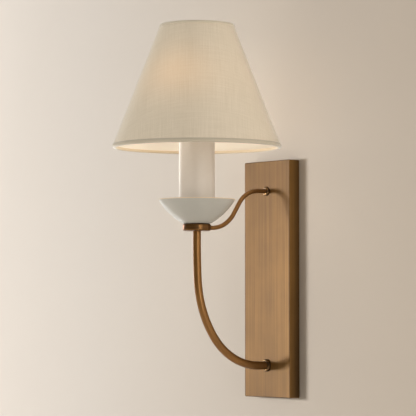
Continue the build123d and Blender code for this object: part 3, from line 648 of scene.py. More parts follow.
@dataclass(frozen=True)
class PlateDarkening:
    """How the rim, the corners and the sides of a flat plate are darkened; on the sides and at the top this
    is painted shade.

    Attributes:
        low: The plate's lowest corner, in metres.
        high: Its highest corner.
        end_reach: How far the darkening of its two ends reaches in, in metres.
        end_darkening: How strong that darkening is; at the top it is doubled as painted shade.
        rim_start: Distance from the rim up to which its darkening is full, in metres.
        rim_end: Distance where it has gone.
        rim_darkening: How strong it is.
        fold_darkening: How strong the darkening of the rounded folds is.
        side_shade_start: Depth of a side at which its painted shade begins to grow, in metres.
        side_shade: How strong a side's painted shade is at the face.
        side_shade_gain: How much it grows up to the wall.
        side_shade_relief: How much weaker it is towards the top.
    """

    low: Vector
    high: Vector
    end_reach: float = 0.11
    end_darkening: float = 0.20
    rim_start: float = 0.5 * MM
    rim_end: float = 2.4 * MM
    rim_darkening: float = 0.85
    fold_darkening: float = 0.8
    side_shade_start: float = 2.0 * MM
    side_shade: float = 0.33
    side_shade_gain: float = 0.9
    side_shade_relief: float = 0.45

    def face_and_side_darkening(self, surface: Surface) -> Socket:
        """How far the face and the sides are darkened, from 0 to 1; on the sides this is painted shade.

        Args:
            surface: The material's nodes.

        Returns:
            The share of the darkest colour.
        """
        low, high = self.low, self.high
        x, y, z = surface.parts(surface.place())
        off_middle = surface.math("ABSOLUTE", surface.math("SUBTRACT", x, (low.x + high.x) / 2.0))
        side = surface.math("SUBTRACT", (high.x - low.x) / 2.0, off_middle)
        top = surface.math("SUBTRACT", high.z, z)
        end = surface.math("MINIMUM", surface.math("SUBTRACT", z, low.z), top)
        rim = surface.span(surface.math("MINIMUM", side, end), self.rim_start, self.rim_end,
                           self.rim_darkening, 0.0)
        # Darker towards both ends; the top's doubled darkening is painted shade.
        ends = surface.math("MAXIMUM", surface.span(end, 0.0, self.end_reach, self.end_darkening, 0.0),
                            surface.span(top, 0.0, self.end_reach, 2.0 * self.end_darkening, 0.0))
        square = surface.math("ABSOLUTE", surface.parts(surface.facing())[1])
        front = surface.span(square, 0.85, 0.98)
        turned_away = surface.math("SUBTRACT", 1.0, surface.span(square, 0.15, 0.4))
        # Painted shade on the sides: darker towards the wall and towards the bottom.
        depth = surface.math("ADD", surface.span(y, low.y + self.side_shade_start, high.y, 0.0, self.side_shade_gain),
                             self.side_shade)
        painted_side_shade = surface.math("MULTIPLY_ADD", surface.span(z, low.z, high.z - self.end_reach),
                             -self.side_shade_relief, depth)
        painted_side_shade = surface.math("MULTIPLY", painted_side_shade, turned_away)
        face = surface.math("MAXIMUM", rim, ends)
        return surface.add("ShaderNodeMix", {0: front, 2: painted_side_shade, 3: face}).outputs[0]

    def folds(self, surface: Surface) -> Socket:
        """How far the rounded folds, which face along no axis, are darkened.

        Args:
            surface: The material's nodes.

        Returns:
            The share of the deep colour.
        """
        x, y, z = (surface.math("ABSOLUTE", part) for part in surface.parts(surface.facing()))
        longest = surface.math("MAXIMUM", surface.math("MAXIMUM", x, y), z)
        return surface.span(longest, 0.86, 0.97, self.fold_darkening, 0.0)


@dataclass(frozen=True)
class AgedBrass(Finish):
    """Brushed brass, browned by age under a thin lacquer.

    Attributes:
        grain: How the brush lines run.
        light: Colour where it is rubbed.
        deep: Colour where it has darkened.
        grazing: Tint of what it mirrors at a flat angle.
        darkening: Share of the deep colour that is left where the darkening and painted shade are deepest.
        bare: Share of bare metal in the patina.
        lacquer: Weight of the lacquer's haze.
        roughness: Mean roughness.
        stretch: How strongly the gloss spreads across the brush lines.
        age: The darkening and painted shade of a flat plate, where it is one.
        wall_shade: How strong the painted shade on an arm is where it meets the plate.
        wall_shade_start: Depth at which that painted shade is full, in metres.
        wall_shade_reach: Distance from the wall where it has gone, in metres.
    """

    grain: Grain
    light: Colour = (0.285, 0.148, 0.036)
    deep: Colour = (0.175, 0.087, 0.017)
    grazing: Colour = (0.50, 0.38, 0.25)
    darkening: float = 0.4
    bare: float = 1.0
    lacquer: float = 0.75
    roughness: float = 0.36
    stretch: float = 0.3
    age: PlateDarkening | None = None
    wall_shade: float = 0.0
    wall_shade_start: float = 0.02
    wall_shade_reach: float = 0.08

    hairs = Pattern(1500.0, 3.0, 0.65)
    lines = Pattern(430.0, 2.0, 0.6)
    bands = Pattern(90.0)
    clouds = Pattern(30.0, 3.0)

    def apply(self, surface: Surface) -> None:
        """Set the brush lines, clouds of patina, darkening, painted shade and bump.

        Args:
            surface: The material's nodes.
        """
        kind, fine, broad = self.grain.value
        hair = surface.noise(self.hairs, kind, fine)
        line = surface.noise(self.lines, kind, fine)
        tone = surface.sum((line, 0.4), (hair, 0.25), (surface.noise(self.clouds), 0.15),
                           (surface.noise(self.bands, kind, broad), 0.2))
        brushed = surface.blend(surface.span(tone, 0.37, 0.63), self.deep, self.light)
        darkest = tuple(self.darkening * value for value in self.deep)
        if self.age:
            brushed = surface.blend(self.age.face_and_side_darkening(surface), brushed, darkest)
            brushed = surface.blend(self.age.folds(surface), brushed, self.deep)
        # Painted shade: the arms darker next to the plate.
        if self.wall_shade:
            depth = surface.parts(surface.place())[1]
            painted_wall_shade = surface.span(depth, -self.wall_shade_reach, -self.wall_shade_start, 0.0, self.wall_shade)
            brushed = surface.blend(painted_wall_shade, brushed, darkest)
        surface.put({
            "Base Color": brushed,
            "Metallic": self.bare,
            "Roughness": surface.span(tone, 0.3, 0.7, self.roughness + 0.05, self.roughness - 0.05),
            "Coat Weight": self.lacquer,
            "Coat Roughness": 0.42,
            "Specular Tint": self.grazing,
            "Anisotropic": self.stretch,
        })
        surface.bump(hair, 0.012 * MM)
        surface.bump(line, 0.03 * MM, 0.7)


@dataclass(frozen=True)
class Clouded(Finish):
    """A finish with faint clouds.

    Attributes:
        body: Its colour.
        shade: The colour of its clouds, or of its thin and hollow places.
    """

    body: Colour
    shade: Colour


@dataclass(frozen=True)
class Metal(Clouded):
    """A plated or bare metal of the hidden works, with dull patches.

    Attributes:
        roughness: Roughness of the clean metal.
    """

    roughness: float

    patches = Pattern(420.0, 3.0, 0.6)
    scratches = Pattern(3200.0, 2.0, 0.6)

    def apply(self, surface: Surface) -> None:
        """Set the dull patches and fine scratches.

        Args:
            surface: The material's nodes.
        """
        patch = surface.noise(self.patches)
        surface.put({
            "Base Color": surface.blend(surface.span(patch, 0.35, 0.7), self.body, self.shade),
            "Metallic": 1.0,
            "Roughness": surface.span(patch, 0.3, 0.7, self.roughness - 0.06, self.roughness + 0.12),
        })
        surface.bump(surface.noise(self.scratches, stretch=(1.0, 0.3, 0.06)), 0.008 * MM)


@dataclass(frozen=True)
class Moulded(Clouded):
    """A moulded plastic, fibre or glazed part.

    Attributes:
        roughness: Mean roughness.
        texture: Height of the moulded texture, in millimetres.
        see_through: Share of light that scatters under the surface.
    """

    roughness: float
    texture: float = 0.02
    see_through: float = 0.0

    clouds = Pattern(160.0, 3.0, 0.55)
    pores = Pattern(2200.0)

    def apply(self, surface: Surface) -> None:
        """Set the faint clouds and the fine texture.

        Args:
            surface: The material's nodes.
        """
        pore = surface.noise(self.pores)
        cloud = surface.noise(self.clouds)
        surface.put({
            "Base Color": surface.blend(surface.span(cloud, 0.3, 0.7), self.body, self.shade),
            "Roughness": surface.span(pore, 0.3, 0.7, self.roughness - 0.05, self.roughness + 0.05),
            "Subsurface Weight": self.see_through,
            "Subsurface Scale": 1.5 * MM,
        })
        surface.bump(pore, self.texture * MM)


@dataclass(frozen=True)
class Paint(Clouded):
    """Matt paint on metal, with brush drag, faint uneven drying and, where set, a painted warm highlight of
    the bulb's light along the top of a rim.

    Attributes:
        roughness: Mean roughness.
        painted_rim_light: Height above which the bulb's warm light is painted on as a highlight, in metres;
            none if there is none.
        painted_rim_light_colour: The colour of that painted highlight.
        painted_rim_light_blur: Half the height over which it fades in, in metres.
        texture: Height of the brush texture, in metres.
    """

    roughness: float
    painted_rim_light: float | None = None
    painted_rim_light_colour: Colour = (0.74, 0.585, 0.41)
    painted_rim_light_blur: float = 0.4 * MM
    texture: float = 0.03 * MM

    clouds = Pattern(45.0, 4.0, 0.55)
    drags = Pattern(900.0, 3.0, 0.55)
    grits = Pattern(1500.0)

    def apply(self, surface: Surface) -> None:
        """Set the clouds, the fine drag round the piece, the painted rim highlight and the bump.

        Args:
            surface: The material's nodes.
        """
        cloud = surface.noise(self.clouds)
        drag = surface.noise(self.drags, Place.OWN, (0.06, 1.0, 1.0))
        tone = surface.sum((cloud, 0.75), (drag, 0.25))
        coat = surface.blend(surface.span(tone, 0.32, 0.72), self.body, self.shade)
        # Painted highlight: the bulb's warm light on the top of the rim, painted into the paint's colour.
        if self.painted_rim_light is not None:
            height = surface.parts(surface.place())[2]
            painted_light_share = surface.span(height, self.painted_rim_light - self.painted_rim_light_blur, self.painted_rim_light + self.painted_rim_light_blur)
            coat = surface.blend(painted_light_share, coat, self.painted_rim_light_colour)
        surface.put({
            "Base Color": coat,
            "Roughness": surface.span(cloud, 0.3, 0.7, self.roughness - 0.06, self.roughness + 0.06),
        })
        surface.bump(drag, self.texture, 0.6)
        surface.bump(surface.noise(self.grits), self.texture, 0.5)


@dataclass(frozen=True)
class Linen(Clouded):
    """Woven linen, with the bulb's light through it painted on as a glow.

    Attributes:
        slub: How strongly the thick threads show.
        pitch: Distance between threads, in metres.
        wobble: How far the threads stray from a straight line, in radians of their pitch.
        painted_glow: Colour of the painted glow that stands for the bulb's light coming through.
        painted_glow_height: Height of the brightest part of the painted glow, in metres.
        painted_glow_reach: How far up and down it fades, in metres.
        painted_glow_side: Azimuth of the side that the bulb stands nearest to, in degrees.
        painted_glow_spread: How far round it fades, in degrees.
        painted_glow_strength: How bright it is.
        painted_lap_colour: Colour of the bulb's light painted on the side that faces it.
        painted_lap_glow: How bright that painted light is.
        axis: From the wall to the shade's axis, in metres.
    """

    slub: float = 1.0
    pitch: float = 0.55 * MM
    wobble: float = 2.6
    painted_glow: Colour = (1.0, 0.47, 0.13)
    painted_glow_height: float = 0.272
    painted_glow_reach: float = 0.036
    painted_glow_side: float = 30.0
    painted_glow_spread: float = 36.0
    painted_glow_strength: float = 0.17
    painted_lap_colour: Colour = (1.0, 0.66, 0.34)
    painted_lap_glow: float = 0.0
    axis: float = 0.137

    drifts = Pattern(120.0)
    warp_slubs = Pattern(620.0, 3.0, 0.65)
    weft_slubs = Pattern(560.0, 3.0, 0.65)

    def threads(self, surface: Surface, across: Socket, drift: Socket) -> Socket:
        """One set of threads across a coordinate, as round ridges from 0 to 1 that drift a little."""
        phase = surface.math("MULTIPLY_ADD", across, math.pi / self.pitch, drift)
        return surface.math("ABSOLUTE", surface.math("SINE", phase))

    def through(self, surface: Surface, slubs: Socket) -> Socket:
        """How bright the painted glow of the bulb is where it shows through the cloth.

        Args:
            surface: The material's nodes.
            slubs: The pattern of thick threads, which show less of the painted glow.

        Returns:
            The strength of the painted glow.
        """
        # Painted glow: emission standing for the bulb's light through the cloth, brightest at one height and
        # on one side.
        x, y, height = surface.parts(surface.place(origin=(0.0, self.axis, 0.0)))
        azimuth = surface.math("ARCTAN2", x, surface.math("MULTIPLY", y, -1.0))
        turned = surface.math("SUBTRACT", azimuth, math.radians(self.painted_glow_side))
        turned = surface.math("WRAP", turned, math.pi, -math.pi)
        upright = surface.bell(height, self.painted_glow_height, self.painted_glow_reach)
        level = surface.bell(turned, 0.0, math.radians(self.painted_glow_spread))
        fade = surface.math("MULTIPLY", upright, surface.span(level, 0.0, 1.0, 0.15, 1.0))
        painted_light_share = surface.span(slubs, 0.3, 0.7, 1.15, 0.85)
        return surface.math("MULTIPLY", surface.math("MULTIPLY", fade, painted_light_share), self.painted_glow_strength)

    def inside(self, surface: Surface) -> Socket:
        """How bright the bulb's light painted on the tape's inner side is.

        Args:
            surface: The material's nodes.

        Returns:
            The strength of that painted light, which only faces towards the axis have.
        """
        outwards = surface.place(scale=(1.0, 1.0, 0.0), origin=(0.0, self.axis, 0.0))
        spoke = surface.add("ShaderNodeVectorMath", {0: outwards}, operation="NORMALIZE").outputs[0]
        away = surface.add("ShaderNodeVectorMath", {0: spoke, 1: surface.facing()}, operation="DOT_PRODUCT")
        return surface.span(away.outputs["Value"], -0.9, 0.0, self.painted_lap_glow, 0.0)

    def apply(self, surface: Surface) -> None:
        """Set the warp and weft, the slubs and the bulb's painted glow.

        Args:
            surface: The material's nodes.
        """
        across, along, _ = surface.parts(surface.place(Place.OWN))
        drift = surface.math("MULTIPLY", surface.noise(self.drifts, Place.OWN), self.wobble)
        weave = surface.math("MAXIMUM", self.threads(surface, across, drift),
                             surface.math("MULTIPLY", self.threads(surface, along, drift), 0.9))
        slubs = surface.sum((surface.noise(self.weft_slubs, Place.OWN, (0.04, 1.0, 1.0)), 0.46),
                            (surface.noise(self.warp_slubs, Place.OWN, (1.0, 0.03, 1.0)), 0.54))
        tone = surface.sum((weave, 0.55), (surface.math("SUBTRACT", slubs, 0.5), 1.6 * self.slub))
        surface.put({
            "Base Color": surface.blend(surface.span(tone, 0.0, 0.75), self.shade, self.body),
            "Roughness": 0.92,
            "Specular IOR Level": 0.2,
            "Sheen Weight": 0.95,
            "Sheen Roughness": 0.28,
        })
        surface.bump(weave, 0.10 * MM, 0.7)
        surface.bump(slubs, 0.12 * MM, 0.7)
        # Painted light: emission for the bulb's glow through the cloth and its light on the tape's inner
        # side.
        if self.painted_glow_strength:
            surface.put({"Emission Color": self.painted_glow, "Emission Strength": self.through(surface, slubs)})
        if self.painted_lap_glow:
            surface.put({"Emission Color": self.painted_lap_colour, "Emission Strength": self.inside(surface)})


@dataclass(frozen=True)
class Lining(Clouded):
    """The shade's stiff lining, smooth, with the bulb's warm light painted on as a glow.

    Attributes:
        painted_glow: Colour of the bulb's light painted on as a glow.
        painted_glow_strength: How bright that painted glow is.
    """

    painted_glow: Colour = (1.0, 0.84, 0.66)
    painted_glow_strength: float = 0.34

    clouds = Pattern(60.0, 3.0)
    fibres = Pattern(1400.0, 3.0, 0.6)

    def apply(self, surface: Surface) -> None:
        """Set the faint clouds, the print of the weave behind it and the painted glow.

        Args:
            surface: The material's nodes.
        """
        fibre = surface.noise(self.fibres, Place.OWN, (1.0, 0.1, 1.0))
        tone = surface.sum((surface.noise(self.clouds), 0.6), (fibre, 0.4))
        # The emission is painted light: the bulb's glow on the lining.
        surface.put({
            "Base Color": surface.blend(surface.span(tone, 0.3, 0.7), self.body, self.shade),
            "Roughness": 0.75,
            "Emission Color": self.painted_glow,
            "Emission Strength": self.painted_glow_strength,
        })
        surface.bump(fibre, 0.02 * MM)


@dataclass(frozen=True)
class OpalGlass(Clouded):
    """The lit bulb's opal glass, a little dimmer towards the cap.

    Attributes:
        light: Colour of its light.
        strength: How bright it is.
        dim_share: Share of the light next to the cap.
        dim_height: Height up to which it is dim, in metres.
        full_height: Height from which it is full, in metres.
    """

    light: Colour = (1.0, 0.80, 0.55)
    strength: float = 2.0
    dim_share: float = 0.35
    dim_height: float = 0.228
    full_height: float = 0.248

    clouds = Pattern(40.0)

    def apply(self, surface: Surface) -> None:
        """Set the glass and its light.

        Args:
            surface: The material's nodes.
        """
        height = surface.parts(surface.place())[2]
        surface.put({
            "Base Color": surface.blend(surface.noise(self.clouds), self.body, self.shade),
            "Roughness": 0.22,
            "Emission Color": self.light,
            "Emission Strength": surface.span(height, self.dim_height, self.full_height,
                                              self.dim_share * self.strength, self.strength),
        })


def finishes() -> dict[str, Material]:
    """Build every finish of the light once.

    Returns:
        The materials, by name.
    """
    made = (
        AgedBrass("aged_brass_plate", Grain.UPRIGHT, roughness=0.60, stretch=0.4, lacquer=0.53,
                  age=PlateDarkening(*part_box("backplate_cover"))),
        AgedBrass("aged_brass_tube", Grain.ALONG, (0.318, 0.147, 0.032), (0.215, 0.095, 0.017),
                  bare=0.68, lacquer=0.8, wall_shade=0.7),
        AgedBrass("aged_brass_turned", Grain.TURNED, (0.225, 0.102, 0.023), (0.11, 0.05, 0.009),
                  roughness=0.30, bare=0.8, lacquer=0.55),
        # Painted shade: the collars' brass is a darker copy, standing for the dark room that they mirror.
        AgedBrass("aged_brass_collar", Grain.TURNED, (0.24, 0.125, 0.032), (0.09, 0.046, 0.010),
                  roughness=0.22, lacquer=1.0),
        AgedBrass("aged_brass_screw", Grain.UPRIGHT, roughness=0.42),
        Metal("zinc_steel", (0.62, 0.63, 0.63), (0.44, 0.45, 0.46), 0.38),
        Metal("bright_brass", (0.72, 0.52, 0.22), (0.55, 0.38, 0.15), 0.28),
        Metal("tinned_copper", (0.68, 0.66, 0.62), (0.52, 0.49, 0.45), 0.35),
        Metal("nickel_steel", (0.66, 0.64, 0.60), (0.50, 0.48, 0.44), 0.28),
        Metal("nickel_brass", (0.72, 0.68, 0.60), (0.56, 0.52, 0.44), 0.26),
        Moulded("earth_insulation", (0.05, 0.22, 0.06), (0.04, 0.17, 0.05), 0.42),
        Moulded("live_insulation", (0.20, 0.085, 0.03), (0.16, 0.065, 0.025), 0.42),
        Moulded("neutral_insulation", (0.03, 0.12, 0.36), (0.025, 0.10, 0.30), 0.42),
        Moulded("white_nylon", (0.76, 0.76, 0.73), (0.70, 0.70, 0.66), 0.45, see_through=0.15),
        Moulded("black_nylon", (0.016, 0.016, 0.016), (0.024, 0.024, 0.024), 0.48),
        Moulded("grey_fibre", (0.16, 0.155, 0.15), (0.11, 0.105, 0.10), 0.85, 0.06),
        Moulded("black_phenolic", (0.014, 0.012, 0.011), (0.022, 0.018, 0.015), 0.30),
        Moulded("white_porcelain", (0.80, 0.79, 0.75), (0.76, 0.75, 0.71), 0.14, 0.01, 0.1),
        Moulded("black_glass", (0.010, 0.010, 0.014), (0.016, 0.014, 0.020), 0.08, 0.01),
        Moulded("white_wire", (0.74, 0.71, 0.65), (0.68, 0.65, 0.59), 0.38),
        # The bowl's paint carries a painted highlight of the bulb's light along its rim.
        Paint("white_paint", (0.45, 0.442, 0.405), (0.415, 0.407, 0.37), 0.34,
              painted_rim_light=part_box("drip_bowl")[1].z - 0.95 * MM),
        Paint("sleeve_paint", (0.60, 0.557, 0.508), (0.565, 0.521, 0.472), 0.55),
        Linen("linen", (0.815, 0.735, 0.61), (0.675, 0.598, 0.472)),
        # Painted shade and light: the bottom tape is a darker copy of the linen for the shade on its rolled
        # edge, and the top tape is painted lighter than the bottom one, making up for the little light on its
        # upward roll.
        Linen("linen_tape", (0.57, 0.52, 0.43), (0.47, 0.42, 0.33), 0.35, 0.6 * MM,
              painted_glow_strength=0.0, painted_lap_glow=0.32),
        Linen("linen_tape_top", (0.74, 0.675, 0.56), (0.62, 0.555, 0.44), 0.35, 0.6 * MM,
              painted_glow_strength=0.0, painted_lap_glow=0.25),
        Lining("shade_lining", (0.74, 0.70, 0.63), (0.70, 0.655, 0.58)),
        OpalGlass("opal_glass", (0.92, 0.90, 0.86), (0.86, 0.83, 0.78)),
    )
    return {finish.name: finish.material() for finish in made}


# --- The workshop: what every sub-assembly uses ---


class Body(Enum):
    """The bodies that new pieces ride on."""

    FIXTURE = "fixture"
    SHADE = "shade"
    BULB = "bulb"


class Workshop:
    """Holds the finishes and hands finished pieces to the frame."""

    def __init__(self) -> None:
        """Build the finishes and find the candle's axis."""
        self.finishes = finishes()
        low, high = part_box("candle_sleeve")
        self.axis = ((low.x + high.x) / 2.0, (low.y + high.y) / 2.0, 0.0)

    def deliver(self, name: str, mesh: Mesh, body: Body, node: str, slot: str,
                finish: str | None = None) -> Object:
        """Put a finished mesh in its node's place.

        Args:
            name: The piece's name.
            mesh: Its mesh, in place.
            body: The body that it rides on.
            node: The CAD node that it stands for.
            slot: Its slot, whose name also picks its finish where none is given.
            finish: The finish, where it isn't the slot's own.

        Returns:
            The new object.
        """
        mesh.materials.clear()
        mesh.materials.append(self.finishes[finish or slot])
        piece = set_out(name, mesh)
        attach(piece, body.value)
        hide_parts(node)
        log.info("%s: %d faces, stands for %s on %s", name, len(mesh.polygons), node, body.value)
        return piece

    def dress(self, node: str, finish: str) -> None:
        """Give a CAD node its finish.

        Args:
            node: The node's name.
            finish: The finish.
        """
        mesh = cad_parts[node].data
        if not mesh.materials:
            mesh.materials.append(None)
        for index in range(len(mesh.materials)):
            mesh.materials[index] = self.finishes[finish]
        log.info("%s: kept, finished in %s", node, finish)


@dataclass(frozen=True)
class Assembly:
    """A sub-assembly of the light.

    Attributes:
        shop: The workshop that its pieces go through.
        kept: The CAD nodes that stay, each with its finish.
    """

    shop: Workshop

    kept = {}

    def make(self) -> None:
        """Build the pieces that replace CAD nodes, where there are some."""

    def build(self) -> None:
        """Build what is replaced and dress what is kept."""
        self.make()
        for node, finish in self.kept.items():
            self.shop.dress(node, finish)


# --- Sub-assemblies ---


@dataclass(frozen=True)
class WallPlate(Assembly):
    """The backplate with its bracket, screws and terminals, kept from the CAD model."""

    kept = {
        "backplate_cover": "aged_brass_plate",
        "cover_screws": "aged_brass_screw",
        "mounting_bracket": "zinc_steel",
        "lower_arm_washer": "zinc_steel",
        "lower_arm_nut": "zinc_steel",
        "upper_arm_washer": "zinc_steel",
        "upper_arm_nut": "zinc_steel",
        "earth_screw": "bright_brass",
        "earth_lug": "tinned_copper",
        "earth_wire": "earth_insulation",
        "live_wire": "live_insulation",
        "neutral_wire": "neutral_insulation",
        "terminal_block": "white_nylon",
        "block_screws": "nickel_steel",
        "block_fixing_screw": "nickel_steel",
        "arm_bush": "black_nylon",
    }


@dataclass(frozen=True)
class Bend:
    """One bend of an arm: its radius in millimetres and its turn in degrees."""

    radius: float
    turn: float


class ArmLine:
    """The centre line of an arm, in the plane across the wall, in millimetres."""

    def __init__(self, stand_off: float, height: float) -> None:
        """Start the line.

        Args:
            stand_off: Distance of its first point from the wall.
            height: Height of its first point.
        """
        self.here = Vector((stand_off, height))
        self.heading = 0.0
        self.stations: list[tuple[Vector, float]] = []

    def mark(self, radius: float) -> None:
        """Note the present place with the tube's radius there."""
        self.stations.append((self.here.copy(), radius))

    def straight(self, length: float, radius: float, steps: int = 4) -> None:
        """Go straight on.

        Args:
            length: How far.
            radius: The tube's radius.
            steps: How many stations.
        """
        for _ in range(steps):
            self.here += Vector((math.cos(self.heading), math.sin(self.heading))) * length / steps
            self.mark(radius)

    def bend(self, bend: Bend, radius: float, steps: int) -> None:
        """Follow an arc.

        Args:
            bend: The bend; a negative turn goes down.
            radius: The tube's radius.
            steps: How many stations.
        """
        turn = math.radians(bend.turn) / steps
        chord = 2.0 * bend.radius * math.sin(abs(turn) / 2.0)
        for _ in range(steps):
            way = self.heading + turn / 2.0
            self.here += Vector((math.cos(way), math.sin(way))) * chord
            self.heading += turn
            self.mark(radius)

    def curve(self, name: str) -> Curve:
        """The line as a curve, in metres, whose points carry the tube's radius."""
        points = [(0.0, -place.x * MM, place.y * MM) for place, _ in self.stations]
        return polyline(name, points, [radius for _, radius in self.stations])


@dataclass(frozen=True)
class Arms(Assembly):
    """The two brass arms, their collars and the hub that they hold, in millimetres.

    Attributes:
        plate_front: Distance of the plate's face from the wall.
        lower_radius: Radius of the thick arm.
        lower_thread: Radius of its threaded ends.
        lower_wall: Wall of the tube.
        lower_bends: Its bends from the plate to the hub.
        upper_radius: Radius of the thin arm.
        upper_thread: Radius of its threaded ends.
        upper_lead: Straight length in front of the plate.
        upper_tail: Straight length in front of the hub.
        upper_steepness: At 1 the two bends meet with no straight between them.
        upper_plate_share: Of the two bend radii, the one next to the plate.
        socket: How deep the thin arm goes into the hub.
        thread_clearance: From the end of the thread to the middle of the hub.
        sides: Faces round each tube.
        bend_steps: Stations along each bend of the thin arm.
        collar_bore: Clearance between an arm and its collar.
        collar_foot: Straight part of a collar next to the plate.
        collar_edges: Chamfers of a collar: at its foot, its bore and its face.
        lower_face: Diameter of the lower collar's front face.
        upper_face: Diameter of the upper collar's front face.
        hub_bore: Clearance between the thread and the hub.
        hub_round: Radius of the hub's rounded edges.
    """

    plate_front: float = 17.0
    lower_radius: float = 5.5
    lower_thread: float = 5.0
    lower_wall: float = 1.7
    lower_bends: tuple[Bend, ...] = (Bend(95.0, 54.5), Bend(145.0, 32.0), Bend(800.0, 3.5))
    upper_radius: float = 3.0
    upper_thread: float = 2.5
    upper_lead: float = 16.0
    upper_tail: float = 6.6
    upper_steepness: float = 0.847
    upper_plate_share: float = 0.463
    socket: float = 6.0
    thread_clearance: float = 0.15
    sides: int = 40
    bend_steps: int = 40
    collar_bore: float = 0.1
    collar_foot: float = 0.9
    collar_edges: tuple[float, float, float] = (0.15, 0.25, 0.35)
    lower_face: float = 13.6
    upper_face: float = 9.4
    hub_bore: float = 0.05
    hub_round: float = 2.5

    def sweep(self, name: str, node: str, line: ArmLine, fill: bool) -> Object:
        """Sweep an arm along its centre line.

        Args:
            name: The piece's name.
            node: The CAD node that it stands for.
            line: The centre line with its radii.
            fill: Whether its ends are closed.

        Returns:
            The arm.
        """
        growth = Growth(name)
        tube = growth.swept(growth.source.outputs["Geometry"], growth.size("Unit radius", MM), self.sides)
        mesh = growth.grow(tube, self.shop.finishes["aged_brass_tube"], line.curve(name), fill)
        return self.shop.deliver(name, mesh, Body.FIXTURE, node, "aged_brass", "aged_brass_tube")

    def lower_arm(self) -> None:
        """Build the thick arm: hollow, with reduced ends for its threads."""
        start, hub = Extent.of("lower_arm").near, Extent.of("hub")
        reach = -self.shop.axis[1] / MM
        heading = 0.0
        run = 0.0
        for bend in self.lower_bends:
            following = heading + math.radians(bend.turn)
            run += bend.radius * (math.sin(following) - math.sin(heading))
            heading = following
        line = ArmLine(start, Extent.of("lower_collar").middle)
        line.mark(self.lower_thread)
        line.straight(self.plate_front - start, self.lower_thread, 1)
        line.mark(self.lower_radius)
        line.straight(reach - run - self.plate_front, self.lower_radius)
        for bend in self.lower_bends:
            line.bend(bend, self.lower_radius, max(8, round(bend.turn)))
        line.straight(hub.bottom - line.here.y, self.lower_radius, 8)
        line.mark(self.lower_thread)
        line.straight(hub.middle - self.thread_clearance - hub.bottom, self.lower_thread, 1)
        arm = self.sweep("lower_arm_tube", "lower_arm", line, fill=False)
        wall = arm.modifiers.new("bore", "SOLIDIFY")
        wall.thickness = (self.lower_wall - self.lower_radius + self.lower_thread) * MM
        wall.offset = -1.0

    def upper_arm(self) -> None:
        """Build the thin arm: a solid rod with two equal and opposite bends."""
        start, hub = Extent.of("upper_arm").near, Extent.of("hub")
        height = Extent.of("upper_collar").middle
        run = hub.near - self.upper_tail - self.upper_lead - self.plate_front
        fall = height - hub.middle
        slope = 2.0 * self.upper_steepness * math.atan2(fall, run)
        radii = (run * math.sin(slope) - fall * math.cos(slope)) / (1.0 - math.cos(slope))
        length = (run - radii * math.sin(slope)) / math.cos(slope)
        turn = math.degrees(slope)
        line = ArmLine(start, height)
        line.mark(self.upper_thread)
        line.straight(self.plate_front - start, self.upper_thread, 1)
        line.mark(self.upper_radius)
        line.straight(self.upper_lead, self.upper_radius)
        line.bend(Bend(radii * self.upper_plate_share, -turn), self.upper_radius, self.bend_steps)
        line.straight(length, self.upper_radius)
        line.bend(Bend(radii * (1.0 - self.upper_plate_share), turn), self.upper_radius, self.bend_steps)
        line.straight(hub.near - line.here.x, self.upper_radius)
        line.mark(self.upper_thread)
        line.straight(self.socket, self.upper_thread, 1)
        self.sweep("upper_arm_rod", "upper_arm", line, fill=True)

    def collar(self, node: str, arm_radius: float, face: float) -> None:
        """Build a turned collar on the plate.

        Args:
            node: The CAD node that it stands for.
            arm_radius: Radius of the arm that passes through it.
            face: Diameter of its front face.
        """
        size = Extent.of(node)
        near, far = size.near, size.far
        foot_edge, bore_edge, face_edge = self.collar_edges
        bore = arm_radius + self.collar_bore
        depth, width = far - near - self.collar_foot, size.radius - face / 2.0
        radius = (depth**2 + width**2) / (2.0 * width)
        centre = (size.radius - radius, near + self.collar_foot)
        shoulder = arc(centre, radius, 0.0, math.asin(depth / radius), 14)
        outline = [(bore, near), (size.radius - foot_edge, near), (size.radius, near + foot_edge), *shoulder,
                   (face / 2.0 - face_edge, far), (bore + bore_edge, far), (bore, far - bore_edge)]
        mesh = Lathe((0.0, 0.0, size.middle * MM), 72, (0.0, -1.0, 0.0)).turn(node + "_turned", outline, 30.0)
        self.shop.deliver(node + "_turned", mesh, Body.FIXTURE, node, "aged_brass", "aged_brass_collar")

    def hub(self) -> None:
        """Build the turned hub that joins the arms under the bowl."""
        size = Extent.of("hub")
        bore = self.lower_thread + self.hub_bore
        outline = rounded((Corner(bore, size.bottom), Corner(size.radius, size.bottom, self.hub_round),
                           Corner(size.radius, size.top, self.hub_round), Corner(bore, size.top)), 10)
        mesh = Lathe(self.shop.axis, 128).turn("hub_turned", divided(outline, 2.0), 60.0)
        self.shop.deliver("hub_turned", mesh, Body.FIXTURE, "hub", "aged_brass", "aged_brass_turned")

    def make(self) -> None:
        """Build both arms, their collars and the hub."""
        self.lower_arm()
        self.upper_arm()
        self.collar("lower_collar", self.lower_radius, self.lower_face)
        self.collar("upper_collar", self.upper_radius, self.upper_face)
        self.hub()


